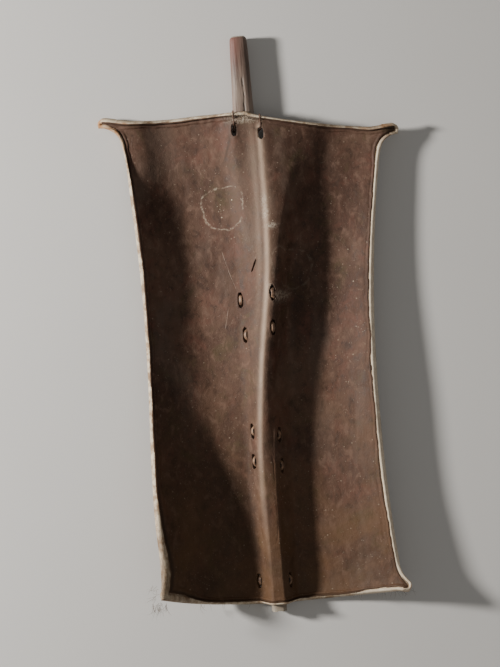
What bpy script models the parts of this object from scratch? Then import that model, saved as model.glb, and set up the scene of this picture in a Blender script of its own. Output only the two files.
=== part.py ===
"""A hide shield with a wooden pole laced along its back, lying on its back with its front up.

Metres, +Z up. +Y runs along the pole towards the shield's top, +X to the right of someone looking at its front.
The origin is on the floor, under the middle of the bounding box.
"""

from math import atan2, cos, pi, radians, sin

import bmesh
import bpy
import numpy as np
from mathutils import Vector

# The hide: one thick skin, cut to a waisted oblong with drawn-out corners.
HIDE_LENGTH = 0.830
HIDE_THICKNESS = 0.0045
WAIST_WIDTH = 0.3787
LEFT_WAIST_SHARE = 0.516
LEFT_WAIST_Y = 0.020
LEFT_FLARE_TOP = 0.0233
LEFT_FLARE_BOTTOM = 0.0055
RIGHT_WAIST_Y = -0.127
RIGHT_FLARE_TOP = 0.0508
RIGHT_FLARE_BOTTOM = 0.0199
# The left side bulges and then narrows towards the foot: how far, at which y and over what run.
LEFT_BULGE = (0.0030, -0.190, 0.140)
LEFT_PINCH = (0.0040, -0.393, 0.050)
TOP_SAG_LEFT = 0.0017
TOP_SAG_START = 0.080
TOP_SAG_RUN = 0.050
RIGHT_SHOULDER_DROP = 0.0415
SHOULDER_DROP_RUN = 0.205
SHOULDER_DROP_BEND = 0.68
BOTTOM_RISE_LEFT = 0.030
BOTTOM_RISE_RIGHT = 0.0115
BOTTOM_BEND_LEFT = 2.8
BOTTOM_BEND_RIGHT = 2.0

# Each ear's reach past the side, the depth of its blunt tip, its fade down the side and how round it fades.
EAR_TOP_LEFT = (0.0337, 0.0140, 0.0055, 0.8)
EAR_TOP_RIGHT = (0.0262, 0.0155, 0.0054, 0.8)
EAR_BOTTOM_LEFT = (0.004, 0.006, 0.010, 1.0)
EAR_BOTTOM_RIGHT = (0.0128, 0.0125, 0.0135, 1.4)
EAR_CORNER = 0.0085
EAR_DROOP = 0.010
EAR_KICK_TOP_LEFT = 0.0105
EAR_KICK_TOP_RIGHT = 0.0052
EAR_KICK_BOTTOM = 0.004
# The kicks begin at these shares of the distance out to the side, over these runs.
KICK_START = 0.85
KICK_RUN = 0.3
FOOT_KICK_START = 0.93
FOOT_KICK_RUN = 0.12

# Sections across the hide are set at these five shares of its length and eased between them, from foot to top.
STATIONS = (0.0, 0.21, 0.443, 0.689, 1.0)
# The crest's line, measured from the pole's middle, its height above the pole's front and its faces' widths.
CREST_SHIFT = (0.0045, -0.0095, 0.0010, 0.0265, 0.0295)
CREST_ABOVE_POLE = (0.0035, 0.0038, 0.0115, 0.0185, 0.0055)
CREST_FACE_LEFT = (0.018, 0.020, 0.020, 0.038, 0.036)
CREST_FACE_RIGHT = (0.014, 0.018, 0.016, 0.036, 0.075)
# The ridge's shoulders, measured out from the pole's sides, and the flanks that fall from them.
HIDE_OVER_POLE = 0.003
CREST_ROUND = 0.12
CREST_BEND = 1.4
SHOULDER_LEFT = (-0.005, -0.005, -0.006, -0.010, 0.001)
SHOULDER_RIGHT = (-0.003, -0.005, 0.002, 0.022, 0.075)
LEFT_FLANK = (0.024, 0.028, 0.024, 0.022, 0.026)
RIGHT_FLANK = (0.028, 0.034, 0.038, 0.036, 0.080)
LEFT_LEAN = (0.8, 0.8, 0.9, 0.9, 1.0)
RIGHT_LEAN = (0.75, 0.75, 0.75, 0.75, 1.2)
# How high the panels come at the ridge: the left one from its wall's foot, the right one from its side.
LEFT_FLOOR = (0.000, 0.004, 0.021, 0.026, 0.027)
RIGHT_FLOOR = (0.000, 0.000, 0.000, 0.004, 0.032)
# The walls' widths, measured in from the sides, and their rise.
LEFT_WALL = (0.128, 0.117, 0.102, 0.088, 0.080)
RIGHT_WALL = (0.152, 0.128, 0.097, 0.087, 0.101)
LEFT_RISE = (0.077, 0.080, 0.036, 0.038, 0.031)
RIGHT_RISE = (0.054, 0.042, 0.040, 0.030, 0.022)
WALL_BEND = 1.75
FLOOR_BEND = 1.5
# Near the top the left wall's outer part rolls back: its drop, its width and the shares it fades between.
LEFT_ROLL = (0.022, 0.040, 0.80, 0.97)
ROLL_BEND = 1.6
END_RISE = 0.009
END_RISE_RUN = 0.013
CALMER_OVER_RIDGE = 0.75
HEM_HEIGHT = 0.0045
HEM_WIDTH = 0.0065
HEM_CREST_SHARE = 0.45
HEM_SPREAD = 0.55

# The pole behind the hide.
POLE_LENGTH = 0.9712
POLE_STUB = 0.012
POLE_WIDTH_TOP = 0.0288
POLE_WIDTH_SHOULDER = 0.0365
POLE_WIDTH_NECK = 0.030
POLE_WIDTH_MIDDLE = 0.028
POLE_WIDTH_FOOT = 0.025
POLE_NECK_RUN = 0.045
POLE_DEPTH = 0.024
POLE_CLEARANCE = 0.0056
POLE_TOP_CHAMFER = 0.0035
POLE_X_TOP = -0.0050
POLE_X_FOOT = -0.0073
CRACK_WIDTH = 0.0022
CRACK_DEPTH = 0.006
CRACK_LENGTH = 0.066

# The lacing: flat thongs stitched through pairs of slits, and a cord over the top edge.
THONG_WIDTH = 0.0058
THONG_THICKNESS = 0.0022
THONG_GAP = 0.0009
STITCH_LENGTH = 0.0175
SLIT_SIDE_ROOM = 0.0023
SLIT_END_ROOM = 0.0046
# Each thong's height above the hide's foot at its left and right slit, and the slits' gaps from the pole's sides.
STITCHES = {
    "thong_upper_1": (0.5152, 0.5231, 0.0122, 0.0122),
    "thong_upper_2": (0.4562, 0.4660, 0.0075, 0.0085),
    "thong_lower_1": (0.2932, 0.2850, 0.0075, 0.0056),
    "thong_lower_2": (0.2420, 0.2326, 0.0088, 0.0070),
    "thong_bottom": (0.0386, 0.0386, 0.0145, 0.0078),
}
CORD_THICKNESS = 0.0032
TOP_HOLE_SIDE_ROOM = 0.0031
TOP_HOLE_LENGTH = 0.021
TOP_HOLE_INSET = 0.0300
TOP_HOLE_GAPS = (0.0014, 0.0106)
CREST_SLIT_HEIGHT = 0.571
CREST_SLIT_LENGTH = 0.024
CREST_SLIT_WIDTH = 0.003
CREST_SLIT_SHIFT = 0.0004
CREST_SLIT_TURN = radians(-24)

# How finely the solids are divided.
EDGE_STEPS = (0.0, 0.0018, 0.0036, 0.006, 0.010, 0.018, 0.030)
END_STEPS = (0.0, 0.0018, 0.0036, 0.006, 0.010, 0.0165, 0.022, 0.030, 0.046)
PANEL_COLUMNS = 6
FLANK_COLUMNS = 3
CREST_COLUMNS = 2
PANEL_ROWS = 15
POLE_SIDES = 16
POLE_RINGS = 22
THONG_POINTS = 32
CORD_POINTS = 44
THONG_SIDES = 6

LEFT_WAIST = LEFT_WAIST_SHARE * WAIST_WIDTH
RIGHT_WAIST = WAIST_WIDTH - LEFT_WAIST
ROW_COUNT = 2 * len(END_STEPS) + PANEL_ROWS
HIDE_FOOT = -POLE_LENGTH / 2 + POLE_STUB
HIDE_TOP = HIDE_FOOT + HIDE_LENGTH
POLE_Z = POLE_CLEARANCE + POLE_DEPTH / 2


def smooth(value):
    """0 below 0, 1 above 1, and an even curve between."""
    t = np.clip(value, 0, 1)
    return t * t * (3 - 2 * t)


def eased(y, values):
    """A section's size at y, between its values at the stations, with no kinks."""
    at = np.asarray(STATIONS)
    size = np.asarray(values)
    slope = np.gradient(size, at)
    share = np.clip(along(y), at[0], at[-1])
    i = np.searchsorted(at[1:-1], share)
    gap = at[i + 1] - at[i]
    t = (share - at[i]) / gap
    hold, lead = 2 * t**3 - 3 * t**2 + 1, t**3 - 2 * t**2 + t
    reach, trail = -2 * t**3 + 3 * t**2, t**3 - t**2
    return hold * size[i] + lead * gap * slope[i] + reach * size[i + 1] + trail * gap * slope[i + 1]


def along(y):
    """The share of the hide's length at y: 0 at the foot, 1 at the top."""
    return (y - HIDE_FOOT) / HIDE_LENGTH


def flared(y, waist, waist_y, flare_top, flare_bottom):
    """A side's distance from the middle, without its ears."""
    above = np.clip((y - waist_y) / (HIDE_TOP - waist_y), 0, None)
    below = np.clip((waist_y - y) / (waist_y - HIDE_FOOT), 0, None)
    return waist + flare_top * above**2 + flare_bottom * below**2


def wave(y, shape):
    size, middle, run = shape
    return size * np.exp(-(((y - middle) / run) ** 2))


def left_side(y):
    side = flared(y, LEFT_WAIST, LEFT_WAIST_Y, LEFT_FLARE_TOP, LEFT_FLARE_BOTTOM)
    return -(side + wave(y, LEFT_BULGE) - wave(y, LEFT_PINCH))


def right_side(y):
    return flared(y, RIGHT_WAIST, RIGHT_WAIST_Y, RIGHT_FLARE_TOP, RIGHT_FLARE_BOTTOM)


def ear(depth, shape):
    """How far an ear reaches past the side, at a depth in from the end of the hide."""
    reach, tip, fade, roundness = shape
    corner = EAR_CORNER * (1 - np.sqrt(1 - np.clip(1 - depth / EAR_CORNER, 0, 1) ** 2))
    return reach * np.exp(-((np.clip(depth - tip, 0, None) / fade) ** roundness)) - corner


def top_edge(x):
    """The top edge's y: level on the left, falling towards the right shoulder."""
    drop = RIGHT_SHOULDER_DROP * np.clip(x / SHOULDER_DROP_RUN, 0, 1) ** SHOULDER_DROP_BEND
    sag = TOP_SAG_LEFT * smooth((-x - TOP_SAG_START) / TOP_SAG_RUN)
    kick = EAR_KICK_TOP_LEFT * smooth((x / left_side(HIDE_TOP) - KICK_START) / KICK_RUN)
    kick += EAR_KICK_TOP_RIGHT * smooth((x / right_side(HIDE_TOP) - KICK_START) / KICK_RUN)
    return HIDE_TOP - drop - sag + kick


def bottom_edge(x):
    """The bottom edge's y: bowed, with both corners above its middle and the right ear turned down."""
    rise = BOTTOM_RISE_LEFT * np.clip(-x / LEFT_WAIST, 0, None) ** BOTTOM_BEND_LEFT
    rise += BOTTOM_RISE_RIGHT * np.clip(x / RIGHT_WAIST, 0, None) ** BOTTOM_BEND_RIGHT
    return HIDE_FOOT + rise - EAR_KICK_BOTTOM * smooth((x / right_side(HIDE_FOOT) - FOOT_KICK_START) / FOOT_KICK_RUN)


def pole_x(y):
    t = (y + POLE_LENGTH / 2) / POLE_LENGTH
    return POLE_X_FOOT + (POLE_X_TOP - POLE_X_FOOT) * t


def pole_width(y):
    """The pole is widest where it leaves the hide, with a neck just below and a taper to each end."""
    at = (-POLE_LENGTH / 2, 0.0, HIDE_TOP - POLE_NECK_RUN, HIDE_TOP, POLE_LENGTH / 2)
    widths = (POLE_WIDTH_FOOT, POLE_WIDTH_MIDDLE, POLE_WIDTH_NECK, POLE_WIDTH_SHOULDER, POLE_WIDTH_TOP)
    return np.interp(y, at, widths)


def pole_side(y, side):
    """The x of the pole's left (-1) or right (1) side."""
    return pole_x(y) + side * pole_width(y) / 2


def shoulders(y):
    """The x of the ridge's left and right shoulders, where its flanks begin to fall."""
    return pole_side(y, -1) - eased(y, SHOULDER_LEFT), pole_side(y, 1) + eased(y, SHOULDER_RIGHT)


def crest_x(y):
    return pole_x(y) + eased(y, CREST_SHIFT)


def floors(x, y):
    """The left and right panels' gentle rise towards the ridge."""
    left, right = shoulders(y)
    left_start = left_side(y) + eased(y, LEFT_WALL)
    in_left = np.clip((x - left_start) / (left - left_start), 0, 1)
    in_right = np.clip((right_side(y) - x) / (right_side(y) - right), 0, 1)
    high_left, high_right = (np.clip(eased(y, floor), 0, None) for floor in (LEFT_FLOOR, RIGHT_FLOOR))
    return high_left * in_left**FLOOR_BEND, high_right * in_right


def ridge(x, y):
    """The ridge: a body stretched over the pole, with a crest along it and a flank falling away on each side."""
    left, right = shoulders(y)
    floor_left, floor_right = floors(x, y)
    fall_left = smooth(np.clip((left - x) / eased(y, LEFT_FLANK), 0, 1) ** eased(y, LEFT_LEAN))
    fall_right = smooth(np.clip((x - right) / eased(y, RIGHT_FLANK), 0, 1) ** eased(y, RIGHT_LEAN))
    body = (POLE_CLEARANCE + POLE_DEPTH + HIDE_OVER_POLE) * (1 - fall_left) * (1 - fall_right)
    body = body + floor_left * fall_left + floor_right * fall_right
    off = x - crest_x(y)
    on_left = np.clip(-off / eased(y, CREST_FACE_LEFT), 0, 1)
    on_left = (np.hypot(on_left, CREST_ROUND) - CREST_ROUND) / (np.hypot(1, CREST_ROUND) - CREST_ROUND)
    on_right = np.clip(off / eased(y, CREST_FACE_RIGHT), 0, 1)
    peak = np.where(off < 0, (1 - on_left) ** CREST_BEND, 1 - on_right**2)
    return body + (eased(y, CREST_ABOVE_POLE) - HIDE_OVER_POLE) * peak


def side_rise(x, y):
    """The walls: both sides curve forward, from the flat strips beside the ridge out to the hem."""
    left, right = left_side(y), right_side(y)
    out_left = np.clip(1 - (x - left) / eased(y, LEFT_WALL), 0, 1)
    out_right = np.clip(1 - (right - x) / eased(y, RIGHT_WALL), 0, 1)
    rise = eased(y, LEFT_RISE) * out_left**WALL_BEND + eased(y, RIGHT_RISE) * out_right**WALL_BEND
    drop, run, start, stop = LEFT_ROLL
    rolled = drop * np.clip(1 - (x - left) / run, 0, 1) ** ROLL_BEND
    rise = rise - rolled * smooth((along(y) - start) / (stop - start))
    past = np.clip(left - x, 0, None) / EAR_TOP_LEFT[0] + np.clip(x - right, 0, None) / EAR_TOP_RIGHT[0]
    return rise - EAR_DROOP * np.clip(past, 0, 1.2) ** 2


def ends_rise(x, y, depth):
    """The top and bottom edges bend forward over a short run, less so over the ridge."""
    over_ridge = np.clip(ridge(x, y) / (POLE_CLEARANCE + POLE_DEPTH), 0, 1)
    return END_RISE * (1 - CALMER_OVER_RIDGE * over_ridge) * np.exp(-depth / END_RISE_RUN)


def hem(edge):
    """The rolled hem's bead, by distance from the cut edge."""
    crest = HEM_CREST_SHARE * HEM_WIDTH
    return HEM_HEIGHT * np.exp(-(((edge - crest) / (HEM_SPREAD * HEM_WIDTH)) ** 2))


def spread(start, stop, inside):
    """Evenly spaced values strictly between two ends."""
    return [start + (stop - start) * (i + 1) / (inside + 1) for i in range(inside)]


def place_rows(x, row):
    """The y and the end depth of a grid row at x. row counts up from the foot."""
    count = len(END_STEPS)
    low, high = bottom_edge(x), top_edge(x)
    if row < count:
        return low + END_STEPS[row], END_STEPS[row]
    from_top = ROW_COUNT - 1 - row
    if from_top < count:
        return high - END_STEPS[from_top], END_STEPS[from_top]
    share = (row - count + 1) / (PANEL_ROWS + 1)
    start, stop = low + END_STEPS[-1], high - END_STEPS[-1]
    y = start + (stop - start) * share
    return y, np.minimum(y - low, high - y)


def row_depths(y, depth):
    """A row's depth in from the top and from the foot. Past the middle the far end counts for nothing."""
    return (depth, HIDE_LENGTH) if y > 0 else (HIDE_LENGTH, depth)


def row_ends(row):
    """The x of a grid row's left and right ends, with their ears, each taken where the row meets it."""
    ends = []
    for side, top_ear, foot_ear in (
        (left_side, EAR_TOP_LEFT, EAR_BOTTOM_LEFT),
        (right_side, EAR_TOP_RIGHT, EAR_BOTTOM_RIGHT),
    ):
        y, depth = place_rows(side(0.0), row)
        top_depth, foot_depth = row_depths(y, depth)
        reach = ear(top_depth, top_ear) + ear(foot_depth, foot_ear)
        ends.append(side(y) + reach * np.sign(side(y)))
    return ends


def columns_at(row):
    """The x of each grid column on a row, from the left edge to the right."""
    left, right = row_ends(row)
    y, _ = place_rows(0.0, row)
    shoulder_left, shoulder_right = shoulders(y)
    foot_left = shoulder_left - eased(y, LEFT_FLANK)
    foot_right = shoulder_right + eased(y, RIGHT_FLANK)
    peak = crest_x(y)
    xs = [left + step for step in EDGE_STEPS]
    xs += spread(left + EDGE_STEPS[-1], foot_left, PANEL_COLUMNS) + [foot_left]
    xs += spread(foot_left, shoulder_left, FLANK_COLUMNS) + [shoulder_left]
    xs += spread(shoulder_left, peak, CREST_COLUMNS) + [peak]
    xs += spread(peak, shoulder_right, CREST_COLUMNS) + [shoulder_right]
    xs += spread(shoulder_right, foot_right, FLANK_COLUMNS) + [foot_right]
    xs += spread(foot_right, right - EDGE_STEPS[-1], PANEL_COLUMNS)
    xs += [right - step for step in reversed(EDGE_STEPS)]
    return xs


def hide_grid():
    """Rows of (x, y, end depth), from the foot of the hide to its top."""
    rows = []
    for row in range(ROW_COUNT):
        rows.append([(x, *place_rows(x, row)) for x in columns_at(row)])
    return np.array(rows)


def edge_distance(xy, outline):
    """The distance of each point from the closed outline."""
    start = outline
    run = np.roll(outline, -1, axis=0) - outline
    length2 = np.maximum((run**2).sum(1), 1e-12)
    best = np.full(len(xy), 1e9)
    for a, d, l2 in zip(start, run, length2):
        t = np.clip(((xy - a) @ d) / l2, 0, 1)
        best = np.minimum(best, np.hypot(*(xy - a - t[:, None] * d).T))
    return best


def surface_z(x, y, depth, edge):
    """The height of the middle of the hide's thickness."""
    return HIDE_THICKNESS / 2 + ridge(x, y) + side_rise(x, y) + ends_rise(x, y, depth) + hem(edge)


def clear_scene():
    for old in list(bpy.data.objects):
        bpy.data.objects.remove(old)


def collection(name):
    made = bpy.data.collections.new(name)
    bpy.context.scene.collection.children.link(made)
    return made


def material(name, colour, roughness):
    made = bpy.data.materials.new(name)
    made.use_nodes = True
    shader = made.node_tree.nodes["Principled BSDF"]
    shader.inputs["Base Color"].default_value = (*colour, 1)
    shader.inputs["Roughness"].default_value = roughness
    shader.inputs["Metallic"].default_value = 0.0
    return made


def place(obj, into, parent=None, finish=None):
    into.objects.link(obj)
    if parent:
        obj.parent = parent
    if finish:
        obj.data.materials.append(finish)
    return obj


def shade(mesh, angle):
    mesh.shade_smooth()
    mesh.set_sharp_from_angle(angle=angle)


def make_hide(into, parent, finish):
    """A grid bent to the hide's middle surface, given its thickness by Solidify."""
    rows = hide_grid()
    count, width = rows.shape[:2]
    flat = rows.reshape(-1, 3)
    index = np.arange(count * width).reshape(count, width)
    around = np.concatenate([index[0, :-1], index[:-1, -1], index[-1, :0:-1], index[:0:-1, 0]])
    edge = edge_distance(flat[:, :2], flat[around, :2])
    z = surface_z(flat[:, 0], flat[:, 1], flat[:, 2], edge)
    bm = bmesh.new()
    bmesh.ops.create_grid(bm, x_segments=width - 1, y_segments=count - 1, size=1.0)
    bm.verts.ensure_lookup_table()
    order = sorted(bm.verts, key=lambda v: (round(v.co.y, 4), round(v.co.x, 4)))
    for vert, (x, y, _), height in zip(order, flat, z):
        vert.co = (x, y, height)
    mesh = bpy.data.meshes.new("hide")
    bm.to_mesh(mesh)
    bm.free()
    hide = place(bpy.data.objects.new("hide", mesh), into, parent, finish)
    shell = hide.modifiers.new("thickness", "SOLIDIFY")
    shell.thickness = HIDE_THICKNESS
    shell.offset = 0
    shell.use_even_offset = False
    shade(mesh, radians(50))
    return hide


def cut(target, name, mesh, into):
    """A Boolean cutter, kept out of the model."""
    cutter = place(bpy.data.objects.new(name, mesh), into, target.parent)
    cutter.hide_render = True
    cutter.display_type = "WIRE"
    boolean = target.modifiers.new(name, "BOOLEAN")
    boolean.operation = "DIFFERENCE"
    boolean.object = cutter
    return cutter


def rounded_section(width, depth, sides):
    """Points round a softened oblong, across its width and its depth."""
    points = []
    for i in range(sides):
        turn = 2 * pi * (i + 0.5) / sides
        c, s = cos(turn), sin(turn)
        reach = (abs(c) ** 3 + abs(s) ** 3) ** (-1 / 3)
        points.append((width / 2 * c * reach, depth / 2 * s * reach))
    return points


def oval_cutter(length, width, height, sides=12):
    """An upright prism on a softened oblong, longer in y, centred on its own origin."""
    bm = bmesh.new()
    outline = rounded_section(width, length, sides)
    low = [bm.verts.new((px, py, -height / 2)) for px, py in outline]
    high = [bm.verts.new((px, py, height / 2)) for px, py in outline]
    for k in range(sides):
        n = (k + 1) % sides
        bm.faces.new((low[k], low[n], high[n], high[k]))
    bm.faces.new(low[::-1])
    bm.faces.new(high)
    bmesh.ops.recalc_face_normals(bm, faces=bm.faces)
    mesh = bpy.data.meshes.new("oval")
    bm.to_mesh(mesh)
    bm.free()
    return mesh


def front_height(x, y):
    """The height of the middle of the hide away from its edges."""
    return float(HIDE_THICKNESS / 2 + ridge(x, y) + side_rise(x, y))


def slope_at(x, y):
    """The angle at which the hide falls towards +X."""
    step = 0.001
    return atan2(front_height(x - step, y) - front_height(x + step, y), 2 * step)


def cut_opening(hide, name, mesh, x, y, into, turn=0.0):
    """An opening cut square through the hide where it stands."""
    cutter = cut(hide, name, mesh, into)
    cutter.location = (x, y, front_height(x, y))
    cutter.rotation_euler = (0.0, slope_at(x, y), turn)


def slit_places(name):
    """The left and right slits of a thong, each as x and y."""
    high_left, high_right, gap_left, gap_right = STITCHES[name]
    y_left, y_right = HIDE_FOOT + high_left, HIDE_FOOT + high_right
    return (pole_side(y_left, -1) - gap_left, y_left), (pole_side(y_right, 1) + gap_right, y_right)


def top_hole_places():
    """The left and right holes under the top edge, each as x and y."""
    places = []
    for side, gap in zip((-1, 1), TOP_HOLE_GAPS):
        x = pole_side(HIDE_TOP - TOP_HOLE_INSET, side) + side * gap
        places.append((x, float(top_edge(x)) - TOP_HOLE_INSET))
    return places


def cut_slits(hide, into):
    """A pair of slits for each stitched thong, two holes under the top edge and one worn slit on the crest."""
    tall = 4 * HIDE_THICKNESS
    slit = oval_cutter(STITCH_LENGTH + 2 * SLIT_END_ROOM, THONG_WIDTH + 2 * SLIT_SIDE_ROOM, tall)
    for name in STITCHES:
        for word, (x, y) in zip(("left", "right"), slit_places(name)):
            cut_opening(hide, f"{name}_slit_{word}", slit, x, y, into)
    hole = oval_cutter(TOP_HOLE_LENGTH, CORD_THICKNESS + 2 * TOP_HOLE_SIDE_ROOM, tall)
    for word, (x, y) in zip(("left", "right"), top_hole_places()):
        cut_opening(hide, f"top_hole_{word}", hole, x, y, into)
    worn = oval_cutter(CREST_SLIT_LENGTH, CREST_SLIT_WIDTH, tall, sides=8)
    y = HIDE_FOOT + CREST_SLIT_HEIGHT
    x = pole_x(y) - CREST_SLIT_SHIFT
    cut_opening(hide, "crest_slit", worn, x, y, into, CREST_SLIT_TURN)


def make_pole(into, parent, finish, cutters):
    """A loft of softened oblong sections, with worn corners and a drying crack at the shield's top end."""
    bm = bmesh.new()
    rings = []
    ys = [-POLE_LENGTH / 2 + POLE_LENGTH * i / POLE_RINGS for i in range(POLE_RINGS)]
    ys += [POLE_LENGTH / 2 - POLE_TOP_CHAMFER, POLE_LENGTH / 2]
    for y in ys:
        trim = 2 * POLE_TOP_CHAMFER if y == POLE_LENGTH / 2 else 0.0
        section = rounded_section(float(pole_width(y)) - trim, POLE_DEPTH - trim, POLE_SIDES)
        rings.append([bm.verts.new((pole_x(y) + px, y, POLE_Z + pz)) for px, pz in section])
    for ring, following in zip(rings, rings[1:]):
        for k in range(POLE_SIDES):
            n = (k + 1) % POLE_SIDES
            bm.faces.new((ring[k], ring[n], following[n], following[k]))
    bm.faces.new(rings[0][::-1])
    bm.faces.new(rings[-1])
    bmesh.ops.recalc_face_normals(bm, faces=bm.faces)
    mesh = bpy.data.meshes.new("pole")
    bm.to_mesh(mesh)
    bm.free()
    pole = place(bpy.data.objects.new("pole", mesh), into, parent, finish)
    shade(mesh, radians(50))
    crack = oval_cutter(CRACK_LENGTH, CRACK_WIDTH, 2 * CRACK_DEPTH, sides=8)
    y = HIDE_TOP + 0.42 * CRACK_LENGTH
    cut(pole, "crack", crack, cutters).location = (pole_x(y) + 0.002, y, POLE_CLEARANCE + POLE_DEPTH)
    return pole


def loop_through(points, count):
    """Evenly spaced places round a smooth closed curve. Each point is a place and the strap's crosswise way."""
    anchors = [np.array((*where, *across)) for where, across in points]
    fine = []
    for i, p1 in enumerate(anchors):
        p0, p2, p3 = anchors[i - 1], anchors[(i + 1) % len(anchors)], anchors[(i + 2) % len(anchors)]
        for step in range(20):
            t = step / 20
            bend = (p2 - p0) * t + (2 * p0 - 5 * p1 + 4 * p2 - p3) * t**2 + (3 * p1 - p0 - 3 * p2 + p3) * t**3
            fine.append(p1 + 0.5 * bend)
    closed = np.array(fine + fine[:1])
    steps = np.linalg.norm(np.diff(closed[:, :3], axis=0), axis=1)
    lengths = np.concatenate([[0.0], np.cumsum(steps)])
    wanted = np.arange(count) * lengths[-1] / count
    return [Vector([np.interp(w, lengths, closed[:, axis]) for axis in range(6)]) for w in wanted]


def flat_loop(name, path, width, thickness, into, parent, finish):
    """A closed strap along the path, with its flat side square to the crosswise way at each place."""
    bm = bmesh.new()
    rings = []
    for i, spot in enumerate(path):
        centre = spot.to_3d()
        heading = (path[(i + 1) % len(path)].to_3d() - path[i - 1].to_3d()).normalized()
        across = Vector(spot[3:])
        across = (across - heading * across.dot(heading)).normalized()
        up = across.cross(heading)
        ring = []
        for k in range(THONG_SIDES):
            turn = 2 * pi * k / THONG_SIDES
            ring.append(bm.verts.new(centre + across * (width / 2 * cos(turn)) + up * (thickness / 2 * sin(turn))))
        rings.append(ring)
    for ring, following in zip(rings, rings[1:] + rings[:1]):
        for k in range(THONG_SIDES):
            n = (k + 1) % THONG_SIDES
            bm.faces.new((ring[k], ring[n], following[n], following[k]))
    bmesh.ops.recalc_face_normals(bm, faces=bm.faces)
    mesh = bpy.data.meshes.new(name)
    bm.to_mesh(mesh)
    bm.free()
    loop = place(bpy.data.objects.new(name, mesh), into, parent, finish)
    shade(mesh, radians(60))
    return loop


def behind_pole(y, side):
    """Two places of a strap beside and behind the pole's rear corner."""
    half = float(pole_width(y)) / 2
    off = THONG_GAP + THONG_THICKNESS / 2
    beside = (pole_x(y) + side * (half + off + 0.0006), y, POLE_CLEARANCE + 0.35 * POLE_DEPTH)
    under = (pole_x(y) + side * (half - 0.0035), y, POLE_CLEARANCE - off)
    return beside, under


def stitch_path(name):
    """Round the pole's back and out through the two slits, with a short stitch in each."""
    dive = STITCH_LENGTH / 2
    points = []
    for side, (x, y) in zip((-1, 1), slit_places(name)):
        z = front_height(x, y)
        fall = slope_at(x, y)
        out = Vector((sin(fall), 0, cos(fall)))
        lie = Vector((cos(fall), 0, -sin(fall))) * side
        spot = Vector((x, y, z))
        face = out * (HIDE_THICKNESS / 2 + 0.0002)
        inner = out * (HIDE_THICKNESS / 2 + THONG_THICKNESS)
        for way in (-1, 1):
            run = Vector((0, side * way, 0))
            turned = (lie + run).normalized()
            beside, under = (Vector(p) for p in behind_pole(y + side * way * dive, side))
            leg = [
                (under, run),
                (beside, run),
                (spot + run * dive - inner, turned),
                (spot + run * 0.5 * dive + face, lie),
            ]
            points += leg if way < 0 else leg[::-1]
    return points


def top_path():
    """Out of the two holes, over the top edge and round the back of the pole, above and below the edge."""
    points = []
    clear = HIDE_THICKNESS / 2 + THONG_GAP + CORD_THICKNESS / 2
    for side, (x, hole_y) in zip((-1, 1), top_hole_places()):
        edge_y = hole_y + TOP_HOLE_INSET
        rim = float(surface_z(x, edge_y, 0.0, 0.0))
        lift = (clear + 0.0010) / cos(slope_at(x, edge_y - 0.010))
        beside, under = behind_pole(hole_y, side)
        fall = slope_at(x, hole_y)
        through = Vector((x, hole_y - 0.001, front_height(x, hole_y)))
        out = Vector((sin(fall), 0, cos(fall)))
        inner = through - out * (HIDE_THICKNESS / 2 + 0.0006)
        outer = through + out * (HIDE_THICKNESS / 2 + 0.0014) + Vector((0, 0.003, 0))
        corner = (beside[0], beside[1], POLE_CLEARANCE + 0.85 * POLE_DEPTH)
        spots = [under, beside, corner, tuple(inner), tuple(through), tuple(outer)]
        for inset in (0.021, 0.012, 0.004):
            y = edge_y - inset
            spots.append((x, y, float(surface_z(x, y, inset, inset)) + lift))
        past = edge_y + THONG_GAP + CORD_THICKNESS / 2
        spots.append((x, edge_y, rim + lift + 0.0016))
        spots.append((x, past + 0.0012, rim + 0.0020))
        spots.append((x, past + 0.0006, rim - clear - 0.0015))
        beside, under = behind_pole(past, side)
        spots += [(beside[0] + side * 0.0008, past, beside[2]), (under[0], past, under[2] - 0.0006)]
        if side > 0:
            spots.reverse()
        points += [(spot, (0.25, 1, 0)) for spot in spots]
    return points


def make_thongs(into, parent, finish):
    for name in STITCHES:
        path = loop_through(stitch_path(name), THONG_POINTS)
        flat_loop(name, path, THONG_WIDTH, THONG_THICKNESS, into, parent, finish)
    path = loop_through(top_path(), CORD_POINTS)
    flat_loop("thong_top", path, CORD_THICKNESS, CORD_THICKNESS, into, parent, finish)


def main():
    clear_scene()
    parts = collection("hide_shield")
    cutters = collection("cutters")
    frame = bpy.data.objects.new("shield_frame", None)
    parts.objects.link(frame)
    hide_finish = material("hide", (0.13, 0.075, 0.055), 0.5)
    wood_finish = material("wood", (0.20, 0.14, 0.11), 0.65)
    thong_finish = material("thong", (0.24, 0.17, 0.12), 0.6)
    hide = make_hide(parts, frame, hide_finish)
    cut_slits(hide, cutters)
    make_pole(parts, frame, wood_finish, cutters)
    make_thongs(parts, frame, thong_finish)


main()
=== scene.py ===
"""The look of the hide shield: the worn hide, the weathered pole and the lacing, seen from above.

Metres, +Z up. +Y runs along the pole towards the shield's top. The outline, the ridge, the pole and
the stitches have the solids' sizes. The hem, the pole's crack and the top cord are finer here, and the
face right of the crest is a little steeper near the top.
"""

from math import atan2, cos, pi, radians, sin

import bpy
import numpy as np
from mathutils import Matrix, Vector


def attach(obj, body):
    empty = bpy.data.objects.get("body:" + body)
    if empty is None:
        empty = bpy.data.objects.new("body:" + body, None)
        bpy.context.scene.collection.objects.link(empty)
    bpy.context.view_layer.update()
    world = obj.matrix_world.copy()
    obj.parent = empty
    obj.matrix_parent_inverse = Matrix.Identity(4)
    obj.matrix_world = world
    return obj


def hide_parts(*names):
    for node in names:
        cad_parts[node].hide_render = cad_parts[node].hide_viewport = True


SEED = 11

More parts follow.
